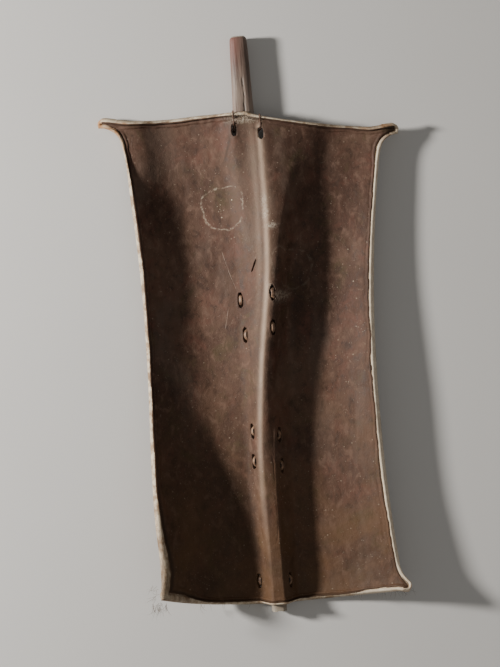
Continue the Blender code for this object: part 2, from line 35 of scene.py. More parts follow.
# The hide's outline.
HIDE_LENGTH = 0.830
HIDE_THICKNESS = 0.0045
WAIST_WIDTH = 0.3787
LEFT_WAIST_SHARE = 0.516
LEFT_WAIST_Y = 0.020
LEFT_FLARE_TOP = 0.0233
LEFT_FLARE_BOTTOM = 0.0055
RIGHT_WAIST_Y = -0.127
RIGHT_FLARE_TOP = 0.0508
RIGHT_FLARE_BOTTOM = 0.0199
LEFT_BULGE = (0.0030, -0.190, 0.140)
LEFT_PINCH = (0.0040, -0.393, 0.050)
TOP_SAG_LEFT = 0.0017
TOP_SAG_START = 0.080
TOP_SAG_RUN = 0.050
RIGHT_SHOULDER_DROP = 0.0415
SHOULDER_DROP_RUN = 0.205
SHOULDER_DROP_BEND = 0.68
BOTTOM_RISE_LEFT = 0.030
BOTTOM_RISE_RIGHT = 0.0115
BOTTOM_BEND_LEFT = 2.8
BOTTOM_BEND_RIGHT = 2.0
EAR_TOP_LEFT = (0.0337, 0.0140, 0.0055, 0.8)
EAR_TOP_RIGHT = (0.0262, 0.0155, 0.0054, 0.8)
EAR_BOTTOM_LEFT = (0.004, 0.006, 0.010, 1.0)
EAR_BOTTOM_RIGHT = (0.0128, 0.0125, 0.0135, 1.4)
EAR_CORNER = 0.0085
EAR_DROOP = 0.010
EAR_KICK_TOP_LEFT = 0.0105
EAR_KICK_TOP_RIGHT = 0.0052
EAR_KICK_BOTTOM = 0.004
KICK_START = 0.85
KICK_RUN = 0.3
FOOT_KICK_START = 0.93
FOOT_KICK_RUN = 0.12

# The sections across the hide.
STATIONS = (0.0, 0.21, 0.443, 0.689, 1.0)
CREST_SHIFT = (0.0045, -0.0095, 0.0010, 0.0265, 0.0295)
CREST_ABOVE_POLE = (0.0035, 0.0038, 0.0115, 0.0185, 0.0055)
CREST_FACE_LEFT = (0.018, 0.020, 0.020, 0.038, 0.036)
CREST_FACE_RIGHT = (0.014, 0.018, 0.016, 0.031, 0.073)
HIDE_OVER_POLE = 0.003
CREST_ROUND = 0.12
CREST_BEND = 1.4
SHOULDER_LEFT = (-0.005, -0.005, -0.006, -0.010, 0.001)
SHOULDER_RIGHT = (-0.003, -0.005, 0.002, 0.022, 0.075)
LEFT_FLANK = (0.024, 0.028, 0.024, 0.022, 0.026)
RIGHT_FLANK = (0.028, 0.034, 0.038, 0.036, 0.080)
LEFT_LEAN = (0.8, 0.8, 0.9, 0.9, 1.0)
RIGHT_LEAN = (0.75, 0.75, 0.75, 0.75, 1.2)
LEFT_FLOOR = (0.000, 0.004, 0.021, 0.026, 0.027)
RIGHT_FLOOR = (0.000, 0.000, 0.000, 0.004, 0.032)
LEFT_WALL = (0.128, 0.117, 0.102, 0.088, 0.080)
RIGHT_WALL = (0.152, 0.128, 0.097, 0.087, 0.101)
LEFT_RISE = (0.077, 0.080, 0.036, 0.038, 0.031)
RIGHT_RISE = (0.054, 0.042, 0.040, 0.030, 0.022)
WALL_BEND = 1.75
FLOOR_BEND = 1.5
LEFT_ROLL = (0.022, 0.040, 0.80, 0.97)
ROLL_BEND = 1.6
END_RISE = 0.009
END_RISE_RUN = 0.013
CALMER_OVER_RIDGE = 0.75

# The pole.
POLE_LENGTH = 0.9712
POLE_STUB = 0.012
POLE_WIDTH_TOP = 0.0288
POLE_WIDTH_SHOULDER = 0.0365
POLE_WIDTH_NECK = 0.030
POLE_WIDTH_MIDDLE = 0.028
POLE_WIDTH_FOOT = 0.025
POLE_NECK_RUN = 0.045
POLE_DEPTH = 0.024
POLE_CLEARANCE = 0.0056
POLE_X_TOP = -0.0050
POLE_X_FOOT = -0.0073
CRACK_SHIFT = 0.0020
CRACK_WANDER = 0.0012
CRACK_WIDTH = 0.0007
CRACK_DEPTH = 0.0028
CRACK_LENGTH = 0.066

# The lacing.
THONG_WIDTH = 0.0058
THONG_THICKNESS = 0.0022
THONG_GAP = 0.0009
STITCH_LENGTH = 0.0175
SLIT_SIDE_ROOM = 0.0023
SLIT_END_ROOM = 0.0046
STITCHES = {
    "thong_upper_1": (0.5152, 0.5231, 0.0122, 0.0122),
    "thong_upper_2": (0.4562, 0.4660, 0.0075, 0.0085),
    "thong_lower_1": (0.2932, 0.2850, 0.0075, 0.0056),
    "thong_lower_2": (0.2420, 0.2326, 0.0088, 0.0070),
    "thong_bottom": (0.0386, 0.0386, 0.0145, 0.0078),
}
CORD_THICKNESS = 0.0032
CORD_FLATTENED = 0.0015
CORD_WIDTH = 0.0024
THONG_SHADES = ((0.120, 0.066, 0.042), (0.290, 0.175, 0.105), (0.38, 0.28, 0.19))
CORD_SHADES = ((0.090, 0.048, 0.032), (0.150, 0.083, 0.055), (0.21, 0.135, 0.095))
TOP_HOLE_SIDE_ROOM = 0.0031
TOP_HOLE_LENGTH = 0.021
TOP_HOLE_INSET = 0.0300
TOP_HOLE_GAPS = (0.0014, 0.0106)
CREST_SLIT_HEIGHT = 0.571
CREST_SLIT_LENGTH = 0.024
CREST_SLIT_WIDTH = 0.003
CREST_SLIT_SHIFT = 0.0004
CREST_SLIT_TURN = radians(-24)

# The rolled hem. The places and halves of its forms are shares of its width, from the rim inwards.
HEM_HEIGHT = 0.0042
HEM_WIDTH = 0.0058
HEM_WIDER_LEFT_FOOT = 0.0070
HEM_WIDER_EARS = 0.0026
HEM_WIDER_OVER_POLE = 0.0034
HEM_BEAD_PLACE = 0.38
HEM_BEAD_HALF = 0.42
HEM_GROOVE_PLACE = 0.84
HEM_GROOVE_WIDTH = 0.0009
HEM_GROOVE_DEPTH = 0.0009
HEM_ROLL_PLACE = 1.32
HEM_ROLL_HALF = 0.50
HEM_ROLL_HEIGHT = 0.0013
HEM_CREASE_PLACE = 1.90
HEM_CREASE_WIDTH = 0.0012
HEM_CREASE_DEPTH = 0.00045

# Marks left on the front: rings and a pucker by x, y and radius, and folds, painted only as lines of shade,
# from one point to another.
RING_LEFT = (-0.0512, 0.1985, 0.0350)
RING_RIGHT = (0.0562, 0.0911, 0.0335)
PUCKER = (0.0310, 0.0430, 0.0150)
TOP_FOLDS = (
    ((-0.029, 0.322), (-0.046, 0.266)),
    ((-0.020, 0.330), (-0.012, 0.300)),
    ((0.006, 0.330), (0.022, 0.318)),
)
TOP_FOLD_WIDTH = 0.0016

# Spots on the front: how strong, where, how wide, and how many times as tall.
DUST_ALL_OVER = 0.30
DUST_SPOTS = (
    (1.0, RING_LEFT[:2], 0.030, 1.0),
    (0.7, RING_RIGHT[:2], 0.028, 1.0),
    (0.9, (0.031, 0.162), 0.012, 1.0),
    (0.5, (0.020, 0.190), 0.010, 3.0),
    (0.6, (0.120, 0.060), 0.035, 1.0),
    (0.5, (0.150, 0.090), 0.030, 1.0),
    (0.5, (0.140, -0.400), 0.045, 0.5),
    (0.7, (0.157, -0.018), 0.018, 0.6),
    (0.6, (0.128, -0.070), 0.018, 1.0),
    (0.6, (-0.070, 0.250), 0.030, 1.0),
    (0.4, (-0.060, -0.270), 0.030, 1.0),
)
FIBRE_SPOTS = (
    (1.0, (0.0310, 0.0440), 0.0095, 1.0),
    (0.5, (0.044, 0.046), 0.006, 1.0),
    (0.5, (0.018, 0.062), 0.006, 1.0),
    (0.9, (0.0180, 0.205), 0.0045, 2.0),
    (1.1, (0.0190, 0.183), 0.0045, 2.2),
    (1.4, (0.0270, 0.162), 0.0085, 0.5),
)

# The crest's painted highlight line, the painted shade of a crease beside it and a fainter painted highlight
# line, each this far left of the crest.
CREST_HIGHLIGHT_PLACE = 0.0055
CREST_HIGHLIGHT_WIDTH = 0.0040
CREST_SHADE_PLACE = 0.0125
CREST_SHADE_WIDTH = 0.0017
CREST_FAINT_HIGHLIGHT_PLACE = 0.0190
CREST_FAINT_HIGHLIGHT_WIDTH = 0.0045

# Colours of the hide and of the marks on it, of its hem, and of the pole. Among them is painted light: the
# highlights on the crest and the right hem, and the shade in grooves and creases.
DARK_BROWN = (0.066, 0.034, 0.023)
BROWN = (0.110, 0.062, 0.042)
RED_BROWN = (0.133, 0.057, 0.039)
OLIVE = (0.074, 0.052, 0.026)
TAN = (0.165, 0.100, 0.072)
DEEP_BROWN = (0.036, 0.020, 0.014)
GREY_BROWN = (0.135, 0.094, 0.072)
LOWER_OLIVE = (0.048, 0.030, 0.014)
TAWNY = (0.105, 0.053, 0.022)
GRAIN = (0.17, 0.11, 0.080)
CREST_HIGHLIGHT_COLOUR = (0.460, 0.335, 0.245)
SPECK = (0.50, 0.42, 0.32)
BIG_SPECK = (0.52, 0.43, 0.32)
CHALK = (0.40, 0.33, 0.25)
SCRATCH = (0.22, 0.16, 0.12)
LONG_SCRATCH = (0.33, 0.25, 0.20)
FIBRE = (0.52, 0.44, 0.35)
CREASE_SHADE = (0.030, 0.018, 0.011)
HEM_TAN = (0.33, 0.225, 0.140)
HEM_PALE = (0.66, 0.56, 0.42)
HEM_CREAM = (0.66, 0.55, 0.40)
HEM_ORANGE = (0.42, 0.20, 0.080)
HEM_DIRT = (0.16, 0.100, 0.060)
HEM_STREAK = (0.165, 0.110, 0.072)
HEM_RIGHT_HIGHLIGHT = (0.80, 0.70, 0.55)
WOOD_DARK = (0.062, 0.037, 0.027)
WOOD_LIGHT = (0.205, 0.142, 0.108)
WOOD_PALE = (0.285, 0.220, 0.175)
WOOD_BROWN = (0.185, 0.105, 0.080)
WOOD_RED = (0.185, 0.064, 0.050)
WOOD_END = (0.42, 0.37, 0.30)
WOOD_STUB = (0.285, 0.240, 0.180)
WOOD_SPECK = (0.40, 0.33, 0.27)

# The ridge's left foot is softened by averaging it over this many steps across.
SOFTENING_STEPS = 5
SOFTENING_STEP = 0.0016

# The camera stands over the shield, turned so that the pole leans as in the photo.
CAMERA_DISTANCE = 2.6
CAMERA_AIM = (-0.022, -0.0156)
CAMERA_ROLL = radians(-4.3)
CAMERA_LENS = 82.5

LEFT_WAIST = LEFT_WAIST_SHARE * WAIST_WIDTH
RIGHT_WAIST = WAIST_WIDTH - LEFT_WAIST
HIDE_FOOT = -POLE_LENGTH / 2 + POLE_STUB
HIDE_TOP = HIDE_FOOT + HIDE_LENGTH
POLE_Z = POLE_CLEARANCE + POLE_DEPTH / 2
HALF_HIDE = HIDE_THICKNESS / 2


def unit(value):
    return np.clip(value, 0, 1)


def bell(value):
    return np.exp(-(value**2))


def smooth(value):
    t = unit(value)
    return t * t * (3 - 2 * t)


def smoother(value):
    t = unit(value)
    return t * t * t * (t * (6 * t - 15) + 10)


def along(y):
    return (y - HIDE_FOOT) / HIDE_LENGTH


def eased(y, values):
    """A section's size at y, between its values at the stations, with no kinks."""
    at = np.asarray(STATIONS)
    size = np.asarray(values)
    slope = np.gradient(size, at)
    share = np.clip(along(y), at[0], at[-1])
    i = np.searchsorted(at[1:-1], share)
    gap = at[i + 1] - at[i]
    t = (share - at[i]) / gap
    hold, lead = 2 * t**3 - 3 * t**2 + 1, t**3 - 2 * t**2 + t
    reach, trail = -2 * t**3 + 3 * t**2, t**3 - t**2
    return hold * size[i] + lead * gap * slope[i] + reach * size[i + 1] + trail * gap * slope[i + 1]


def noise(x, y, scale, seed):
    """Smooth noise from -1 to 1 whose lumps measure about scale metres."""
    table = np.random.default_rng(SEED + seed).uniform(-1, 1, (64, 64))
    u, v = np.asarray(x) / scale + 1000.37, np.asarray(y) / scale + 1000.71
    i, j = np.floor(u).astype(int), np.floor(v).astype(int)
    a, b = smoother(u - i), smoother(v - j)
    i, j, i1, j1 = i % 64, j % 64, (i + 1) % 64, (j + 1) % 64
    low = table[i, j] * (1 - a) + table[i1, j] * a
    high = table[i, j1] * (1 - a) + table[i1, j1] * a
    return low * (1 - b) + high * b


def flared(y, waist, waist_y, flare_top, flare_bottom):
    above = np.clip((y - waist_y) / (HIDE_TOP - waist_y), 0, None)
    below = np.clip((waist_y - y) / (waist_y - HIDE_FOOT), 0, None)
    return waist + flare_top * above**2 + flare_bottom * below**2


def wave(y, shape):
    size, middle, run = shape
    return size * bell((y - middle) / run)


def left_side(y):
    side = flared(y, LEFT_WAIST, LEFT_WAIST_Y, LEFT_FLARE_TOP, LEFT_FLARE_BOTTOM)
    return -(side + wave(y, LEFT_BULGE) - wave(y, LEFT_PINCH))


def right_side(y):
    return flared(y, RIGHT_WAIST, RIGHT_WAIST_Y, RIGHT_FLARE_TOP, RIGHT_FLARE_BOTTOM)


def ear(depth, shape):
    """How far an ear reaches out past the side at this depth from the shield's end."""
    reach, tip, fade, roundness = shape
    corner = EAR_CORNER * (1 - np.sqrt(1 - unit(1 - depth / EAR_CORNER) ** 2))
    return reach * np.exp(-((np.clip(depth - tip, 0, None) / fade) ** roundness)) - corner


def top_edge(x):
    drop = RIGHT_SHOULDER_DROP * unit(x / SHOULDER_DROP_RUN) ** SHOULDER_DROP_BEND
    sag = TOP_SAG_LEFT * smooth((-x - TOP_SAG_START) / TOP_SAG_RUN)
    kick = EAR_KICK_TOP_LEFT * smooth((x / left_side(HIDE_TOP) - KICK_START) / KICK_RUN)
    kick += EAR_KICK_TOP_RIGHT * smooth((x / right_side(HIDE_TOP) - KICK_START) / KICK_RUN)
    return HIDE_TOP - drop - sag + kick


def bottom_edge(x):
    rise = BOTTOM_RISE_LEFT * np.clip(-x / LEFT_WAIST, 0, None) ** BOTTOM_BEND_LEFT
    rise += BOTTOM_RISE_RIGHT * np.clip(x / RIGHT_WAIST, 0, None) ** BOTTOM_BEND_RIGHT
    kick = smooth((x / right_side(HIDE_FOOT) - FOOT_KICK_START) / FOOT_KICK_RUN)
    return HIDE_FOOT + rise - EAR_KICK_BOTTOM * kick


def pole_x(y):
    return POLE_X_FOOT + (POLE_X_TOP - POLE_X_FOOT) * (y + POLE_LENGTH / 2) / POLE_LENGTH


def pole_width(y):
    at = (-POLE_LENGTH / 2, 0.0, HIDE_TOP - POLE_NECK_RUN, HIDE_TOP, POLE_LENGTH / 2)
    widths = (POLE_WIDTH_FOOT, POLE_WIDTH_MIDDLE, POLE_WIDTH_NECK, POLE_WIDTH_SHOULDER, POLE_WIDTH_TOP)
    return np.interp(y, at, widths)


def pole_side(y, side):
    return pole_x(y) + side * pole_width(y) / 2


def shoulders(y):
    """The x of the ridge's left and right shoulders, where its flanks begin to fall."""
    return pole_side(y, -1) - eased(y, SHOULDER_LEFT), pole_side(y, 1) + eased(y, SHOULDER_RIGHT)


def crest_x(y):
    return pole_x(y) + eased(y, CREST_SHIFT)


def floors(x, y):
    """The left and right panels' gentle rise towards the ridge."""
    left, right = shoulders(y)
    left_start = left_side(y) + eased(y, LEFT_WALL)
    in_left = unit((x - left_start) / (left - left_start))
    in_right = unit((right_side(y) - x) / (right_side(y) - right))
    high_left, high_right = (np.clip(eased(y, floor), 0, None) for floor in (LEFT_FLOOR, RIGHT_FLOOR))
    return high_left * in_left**FLOOR_BEND, high_right * in_right


def ridge(x, y):
    """The ridge: a body stretched over the pole, with a crest along it and a flank on each side."""
    left, right = shoulders(y)
    floor_left, floor_right = floors(x, y)
    fall_left = smooth(unit((left - x) / eased(y, LEFT_FLANK)) ** eased(y, LEFT_LEAN))
    fall_right = smooth(unit((x - right) / eased(y, RIGHT_FLANK)) ** eased(y, RIGHT_LEAN))
    body = (POLE_CLEARANCE + POLE_DEPTH + HIDE_OVER_POLE) * (1 - fall_left) * (1 - fall_right)
    body = body + floor_left * fall_left + floor_right * fall_right
    off = x - crest_x(y)
    on_left = unit(-off / eased(y, CREST_FACE_LEFT))
    on_left = (np.hypot(on_left, CREST_ROUND) - CREST_ROUND) / (np.hypot(1, CREST_ROUND) - CREST_ROUND)
    on_right = unit(off / eased(y, CREST_FACE_RIGHT))
    peak = np.where(off < 0, (1 - on_left) ** CREST_BEND, 1 - on_right**2)
    return body + (eased(y, CREST_ABOVE_POLE) - HIDE_OVER_POLE) * peak


def side_rise(x, y):
    left, right = left_side(y), right_side(y)
    out_left = unit(1 - (x - left) / eased(y, LEFT_WALL))
    out_right = unit(1 - (right - x) / eased(y, RIGHT_WALL))
    rise = eased(y, LEFT_RISE) * out_left**WALL_BEND + eased(y, RIGHT_RISE) * out_right**WALL_BEND
    drop, run, start, stop = LEFT_ROLL
    rolled = drop * unit(1 - (x - left) / run) ** ROLL_BEND
    rise = rise - rolled * smooth((along(y) - start) / (stop - start))
    past = np.clip(left - x, 0, None) / EAR_TOP_LEFT[0] + np.clip(x - right, 0, None) / EAR_TOP_RIGHT[0]
    return rise - EAR_DROOP * np.clip(past, 0, 1.2) ** 2


def ends_rise(x, y, depth):
    over_ridge = unit(ridge(x, y) / (POLE_CLEARANCE + POLE_DEPTH))
    return END_RISE * (1 - CALMER_OVER_RIDGE * over_ridge) * np.exp(-depth / END_RISE_RUN)


def front_height(x, y):
    return float(HALF_HIDE + ridge(x, y) + side_rise(x, y))


def slope_at(x, y):
    step = 0.001
    return atan2(front_height(x - step, y) - front_height(x + step, y), 2 * step)


def slit_places(name):
    high_left, high_right, gap_left, gap_right = STITCHES[name]
    y_left, y_right = HIDE_FOOT + high_left, HIDE_FOOT + high_right
    return (pole_side(y_left, -1) - gap_left, y_left), (pole_side(y_right, 1) + gap_right, y_right)


def top_hole_places():
    places = []
    for side, gap in zip((-1, 1), TOP_HOLE_GAPS):
        x = pole_side(HIDE_TOP - TOP_HOLE_INSET, side) + side * gap
        places.append((x, float(top_edge(x)) - TOP_HOLE_INSET))
    return places


def openings():
    """Every opening in the hide: (x, y, half length, half width, turn)."""
    found = []
    for name in STITCHES:
        for x, y in slit_places(name):
            found.append((x, y, STITCH_LENGTH / 2 + SLIT_END_ROOM, THONG_WIDTH / 2 + SLIT_SIDE_ROOM, 0.0))
    for x, y in top_hole_places():
        found.append((x, y, TOP_HOLE_LENGTH / 2, CORD_THICKNESS / 2 + TOP_HOLE_SIDE_ROOM, 0.0))
    y = HIDE_FOOT + CREST_SLIT_HEIGHT
    x = pole_x(y) - CREST_SLIT_SHIFT
    found.append((x, y, CREST_SLIT_LENGTH / 2, CREST_SLIT_WIDTH / 2, CREST_SLIT_TURN))
    return found


def end_steps():
    """Depths of the rows at each end, closest together at the rolled hem."""
    return np.concatenate([np.arange(0, 0.012, 0.0008), np.arange(0.012, 0.0465, 0.0017)])


def edge_steps():
    """The same for the columns, from each side inwards."""
    return np.concatenate([np.arange(0, 0.012, 0.0008), np.arange(0.012, 0.0305, 0.0015)])


def between(start, stop, count):
    """count evenly spaced values from start up to, but not including, stop."""
    return start + (stop - start) * np.arange(count) / count


MIDDLE_ROWS = 242
COLUMNS = {"left_panel": 54, "left_flank": 14, "crest": 28, "right_flank": 18, "right_panel": 42}


def row_place(x, row, steps):
    """The y and the end depth of a row at x. row counts up from the foot."""
    count = len(steps)
    low, high = bottom_edge(x), top_edge(x)
    if row < count:
        return low + steps[row], np.full_like(x, steps[row])
    from_top = 2 * count + MIDDLE_ROWS - 1 - row
    if from_top < count:
        return high - steps[from_top], np.full_like(x, steps[from_top])
    share = (row - count + 1) / (MIDDLE_ROWS + 1)
    y = low + steps[-1] + (high - low - 2 * steps[-1]) * share
    return y, np.minimum(y - low, high - y)


def row_ends(row, steps):
    """The x of a row's left and right ends, out to the tips of the ears."""
    ends = []
    for side, top_ear, foot_ear in (
        (left_side, EAR_TOP_LEFT, EAR_BOTTOM_LEFT),
        (right_side, EAR_TOP_RIGHT, EAR_BOTTOM_RIGHT),
    ):
        y, depth = row_place(np.array(side(0.0)), row, steps)
        top_depth, foot_depth = (depth, HIDE_LENGTH) if y > 0 else (HIDE_LENGTH, depth)
        reach = ear(top_depth, top_ear) + ear(foot_depth, foot_ear)
        ends.append(float(side(y) + reach * np.sign(side(y))))
    return ends


def hide_rows():
    """The x, y and end depth of the hide's grid, with its rows from the foot to the top."""
    steps, edge = end_steps(), edge_steps()
    rows = []
    for row in range(2 * len(steps) + MIDDLE_ROWS):
        left, right = row_ends(row, steps)
        y, _ = row_place(np.array(0.0), row, steps)
        shoulder_left, shoulder_right = shoulders(float(y))
        foot_left = shoulder_left - eased(y, LEFT_FLANK)
        foot_right = shoulder_right + eased(y, RIGHT_FLANK)
        xs = np.concatenate([
            left + edge[:-1],
            between(left + edge[-1], foot_left, COLUMNS["left_panel"]),
            between(foot_left, shoulder_left, COLUMNS["left_flank"]),
            between(shoulder_left, shoulder_right, COLUMNS["crest"]),
            between(shoulder_right, foot_right, COLUMNS["right_flank"]),
            between(foot_right, right - edge[-1], COLUMNS["right_panel"]),
            right - edge[::-1],
        ])
        ys, depth = row_place(xs, row, steps)
        rows.append((xs, ys, depth))
    return [np.array(part) for part in zip(*rows)]


def outline_distance(x, y, outline):
    """The distance of each point from the closed outline."""
    points = np.stack([x.ravel(), y.ravel()], axis=1)
    run = np.roll(outline, -1, axis=0) - outline
    best = np.full(len(points), 1e9)
    for a, d in zip(outline, run):
        away = points - a
        t = unit(away @ d / max(d @ d, 1e-14))
        best = np.minimum(best, ((away - t[:, None] * d) ** 2).sum(1))
    return np.sqrt(best).reshape(x.shape)


def left_foot(x, y):
    """1 on the broad part of the hem down the left wall's foot, 0 elsewhere."""
    return smooth((0.30 - along(y)) / 0.22) * smooth((-x - 0.12) / 0.05)


def hem_width(x, y):
    """The hem's width: uneven, broad down the left wall's foot, and fuller at the ears and over the pole."""
    t = along(y)
    ears = smooth((t - 0.93) / 0.05) * smooth((np.abs(x) - 0.19) / 0.03)
    over_pole = bell((x - pole_x(y)) / 0.030) * smooth((t - 0.93) / 0.05)
    uneven = HEM_WIDTH * (1 + 0.22 * noise(x, y, 0.045, 5) + 0.10 * noise(x, y, 0.009, 12))
    wider = HEM_WIDER_LEFT_FOOT * left_foot(x, y) + HEM_WIDER_EARS * ears + HEM_WIDER_OVER_POLE * over_pole
    return uneven + wider


def hem_rise(edge, x, y):
    """The rolled hem's bead, a groove beside it, a lower roll within that and the crease that ends it."""
    width = hem_width(x, y)
    bead = unit(1 - ((edge - HEM_BEAD_PLACE * width) / (HEM_BEAD_HALF * width)) ** 2) ** 0.6
    groove = bell((edge - HEM_GROOVE_PLACE * width) / HEM_GROOVE_WIDTH)
    roll = unit(1 - ((edge - HEM_ROLL_PLACE * width) / (HEM_ROLL_HALF * width)) ** 2)
    crease = bell((edge - HEM_CREASE_PLACE * width) / HEM_CREASE_WIDTH)
    rise = HEM_HEIGHT * (0.75 + 0.25 * width / HEM_WIDTH) * bead + HEM_ROLL_HEIGHT * roll
    return rise - HEM_GROOVE_DEPTH * groove - HEM_CREASE_DEPTH * crease


def lips(x, y):
    """The skin puckers up round each opening."""
    rise = np.zeros_like(x)
    for ox, oy, half_length, half_width, turn in openings():
        dx, dy = x - ox, y - oy
        across, down = dx * cos(turn) + dy * sin(turn), dy * cos(turn) - dx * sin(turn)
        out = np.sqrt((across / half_width) ** 2 + (down / half_length) ** 2) - 1
        size = 0.0009 if half_width > 0.002 else 0.0005
        rise += size * bell(out / 0.38) * (1 + 0.5 * noise(x, y, 0.005, 7))
    return rise


def pucker(x, y):
    """The torn and gathered skin beside one slit: a curved welt with fibres drawn across it."""
    px, py, radius = PUCKER
    dx, dy = x - px, y - py
    away = np.hypot(dx, dy)
    turn = np.arctan2(dy, dx)
    welt = bell((away - radius) / 0.0030) * smooth((1.6 - np.abs(turn + 1.1)) / 0.8)
    folds = bell(away / (0.75 * radius)) * np.sin(dx * 1500 + 6 * noise(x, y, 0.012, 8))
    return 0.0016 * welt + 0.0007 * folds - 0.0012 * bell(away / (0.5 * radius))


def undulation(x, y, edge):
    """Slow waves that the dried hide keeps, calmer at the flat strips that it rests on."""
    inside = smooth(edge / 0.02)
    rest = ridge(x, y) + side_rise(x, y)
    free = 0.25 + 0.75 * smooth(rest / 0.02)
    waves = 0.0014 * noise(x, y, 0.11, 1) + 0.0005 * noise(x, y * 0.7, 0.032, 2)
    return waves * inside * free


def fold_mark(x, y, start, stop):
    """1 on a short line that fades at both ends, and 0 away from it."""
    dx, dy = stop[0] - start[0], stop[1] - start[1]
    share = ((x - start[0]) * dx + (y - start[1]) * dy) / (dx * dx + dy * dy)
    reach = unit(share)
    wander = 0.0012 * noise(x, y, 0.012, 21)
    off = np.hypot(x - start[0] - dx * reach, y - start[1] - dy * reach) + wander
    return bell(off / TOP_FOLD_WIDTH) * smooth((1 - np.abs(2 * share - 0.9)) / 0.5)


def fine_relief(x, y, edge):
    """Wrinkles, creases, lips and the pucker, on the front only."""
    inside = smooth((edge - 0.004) / 0.01)
    wrinkles = 0.00016 * noise(x, y * 0.8, 0.010, 3) + 0.00010 * noise(x, y, 0.005, 4)
    lower_right = smooth((0.45 - along(y)) / 0.3) * smooth((x - 0.02) / 0.05)
    wrinkles += 0.00034 * lower_right * noise(x * 1.5 + 0.3 * y, y * 0.5, 0.0075, 10)
    creases = 0.0004 * bell(noise(x * 1.3, y * 0.5, 0.045, 6) / 0.035)
    return (wrinkles - creases) * inside + lips(x, y) + pucker(x, y)


def normals(x, y, z):
    """Unit normals of a grid surface, pointing up."""
    gx = np.stack([np.gradient(a, axis=1) for a in (x, y, z)], axis=-1)
    gy = np.stack([np.gradient(a, axis=0) for a in (x, y, z)], axis=-1)
    n = np.cross(gx, gy)
    return n / np.linalg.norm(n, axis=-1, keepdims=True)


def following(count):
    """Each number round a ring, with the one after it."""
    return [(k, (k + 1) % count) for k in range(count)]


def rounded(c, s, power):
    """How far a softened square reaches out at the angle with this cosine and sine."""
    return (abs(c) ** power + abs(s) ** power) ** (-1 / power)


def mesh_object(name, verts, faces, smooth_shading=True):
    mesh = bpy.data.meshes.new(name)
    mesh.from_pydata(np.asarray(verts).tolist(), [], faces)
    mesh.update()
    if smooth_shading:
        mesh.shade_smooth()
    made = bpy.data.objects.new(name, mesh)
    bpy.context.scene.collection.objects.link(made)
    return made


def quads(index):
    """The faces of a grid of vertex numbers."""
    a, b, c, d = index[:-1, :-1], index[:-1, 1:], index[1:, 1:], index[1:, :-1]
    return np.stack([a, b, c, d], axis=-1).reshape(-1, 4).tolist()


def ring_of(index):
    """The vertex numbers round a grid's border, anticlockwise."""
    return np.concatenate([index[0, :-1], index[:-1, -1], index[-1, :0:-1], index[:0:-1, 0]])


def build_hide():
    """The front as a fine grid and the back as a coarser one, joined round the rim, then cut open."""
    # The back takes every other point, so the rows have to be odd in number, as the columns are.
    x, y, depth = (part[1:] for part in hide_rows())
    rows, columns = x.shape
    number = np.arange(rows * columns).reshape(rows, columns)
    around = ring_of(number)
    outline = np.stack([x.ravel()[around], y.ravel()[around]], axis=1)
    edge = outline_distance(x, y, outline)
    soft = smooth((crest_x(y) - 0.006 - x) / 0.012) * smooth((edge - 0.012) / 0.02)
    reaches = [SOFTENING_STEP * k for k in range(-SOFTENING_STEPS, SOFTENING_STEPS + 1)]
    ridges = sum(ridge(x + soft * reach, y) / len(reaches) for reach in reaches)
    middle = HALF_HIDE + ridges + side_rise(x, y) + ends_rise(x, y, depth)
    middle = middle + undulation(x, y, edge)
    bead = hem_rise(edge, x, y)
    out = normals(x, y, middle)
    centre = np.stack([x, y, middle], axis=-1)
    front = centre + out * (HALF_HIDE + bead + fine_relief(x, y, edge))[..., None]
    under = 0.35 * np.clip(bead, 0, None) + 0.0002 * noise(x, y, 0.008, 9)
    back = (centre - out * (HALF_HIDE + under)[..., None])[::2, ::2]
    back[..., 2] = np.maximum(back[..., 2], 0.0001)
    front_count = rows * columns
    back_number = np.arange(back.shape[0] * back.shape[1]).reshape(back.shape[:2]) + front_count
    faces = quads(number) + quads(back_number[:, ::-1])
    top_ring, low_ring = ring_of(number), ring_of(back_number)
    for k, n in following(len(low_ring)):
        b0, b1 = int(low_ring[k]), int(low_ring[n])
        f0, f1, f2 = (int(top_ring[(2 * k + s) % len(top_ring)]) for s in range(3))
        faces += [[f0, b0, f1], [b0, b1, f1], [f1, b1, f2]]
    verts = np.concatenate([front.reshape(-1, 3), back.reshape(-1, 3)])
    hide = mesh_object("hide_skin", verts, faces)
    cutter = opening_cutters()
    boolean = hide.modifiers.new("openings", "BOOLEAN")
    boolean.operation = "DIFFERENCE"
    boolean.object = cutter
    boolean.solver = "EXACT"
    cut = bpy.data.meshes.new_from_object(hide.evaluated_get(bpy.context.evaluated_depsgraph_get()))
    hide.modifiers.clear()
    hide.data = cut
    bpy.data.objects.remove(cutter)
    paint_hide(hide, outline)
    return hide


def opening_cutters():
    """One mesh with an upright softened prism for each opening, square to the hide where it stands."""
    verts, faces = [], []
    sides = 20
    for number, (x, y, half_length, half_width, turn) in enumerate(openings()):
        tilt = slope_at(x, y)
        base = len(verts)
        spot = Vector((x, y, front_height(x, y)))
        wobble = np.random.default_rng(SEED + 40 + number).uniform(0.9, 1.06, sides)
        for level in (-1, 1):
            for k in range(sides):
                a = 2 * pi * k / sides
                c, s = cos(a), sin(a)
                reach = rounded(c, s, 2.6) * wobble[k]
                p = Vector((half_width * c * reach, half_length * s * reach, level * 2.2 * HIDE_THICKNESS))
                p = Vector((p.x * cos(turn) - p.y * sin(turn), p.x * sin(turn) + p.y * cos(turn), p.z))
                p = Vector((p.x * cos(tilt) + p.z * sin(tilt), p.y, -p.x * sin(tilt) + p.z * cos(tilt)))
                verts.append(tuple(spot + p))
        for k, n in following(sides):
            faces.append([base + k, base + n, base + sides + n, base + sides + k])
        faces.append([base + k for k in range(sides)][::-1])
        faces.append([base + sides + k for k in range(sides)])
    return mesh_object("opening_cutters", verts, faces, smooth_shading=False)


def spotted(x, y, spots):
    """The sum of soft spots on the front, each fading to 0 around its place."""
    total = np.zeros_like(x)
    for strength, (px, py), size, stretch in spots:
        total += strength * np.exp(-(((x - px) / size) ** 2 + ((y - py) / (size * stretch)) ** 2))
    return total


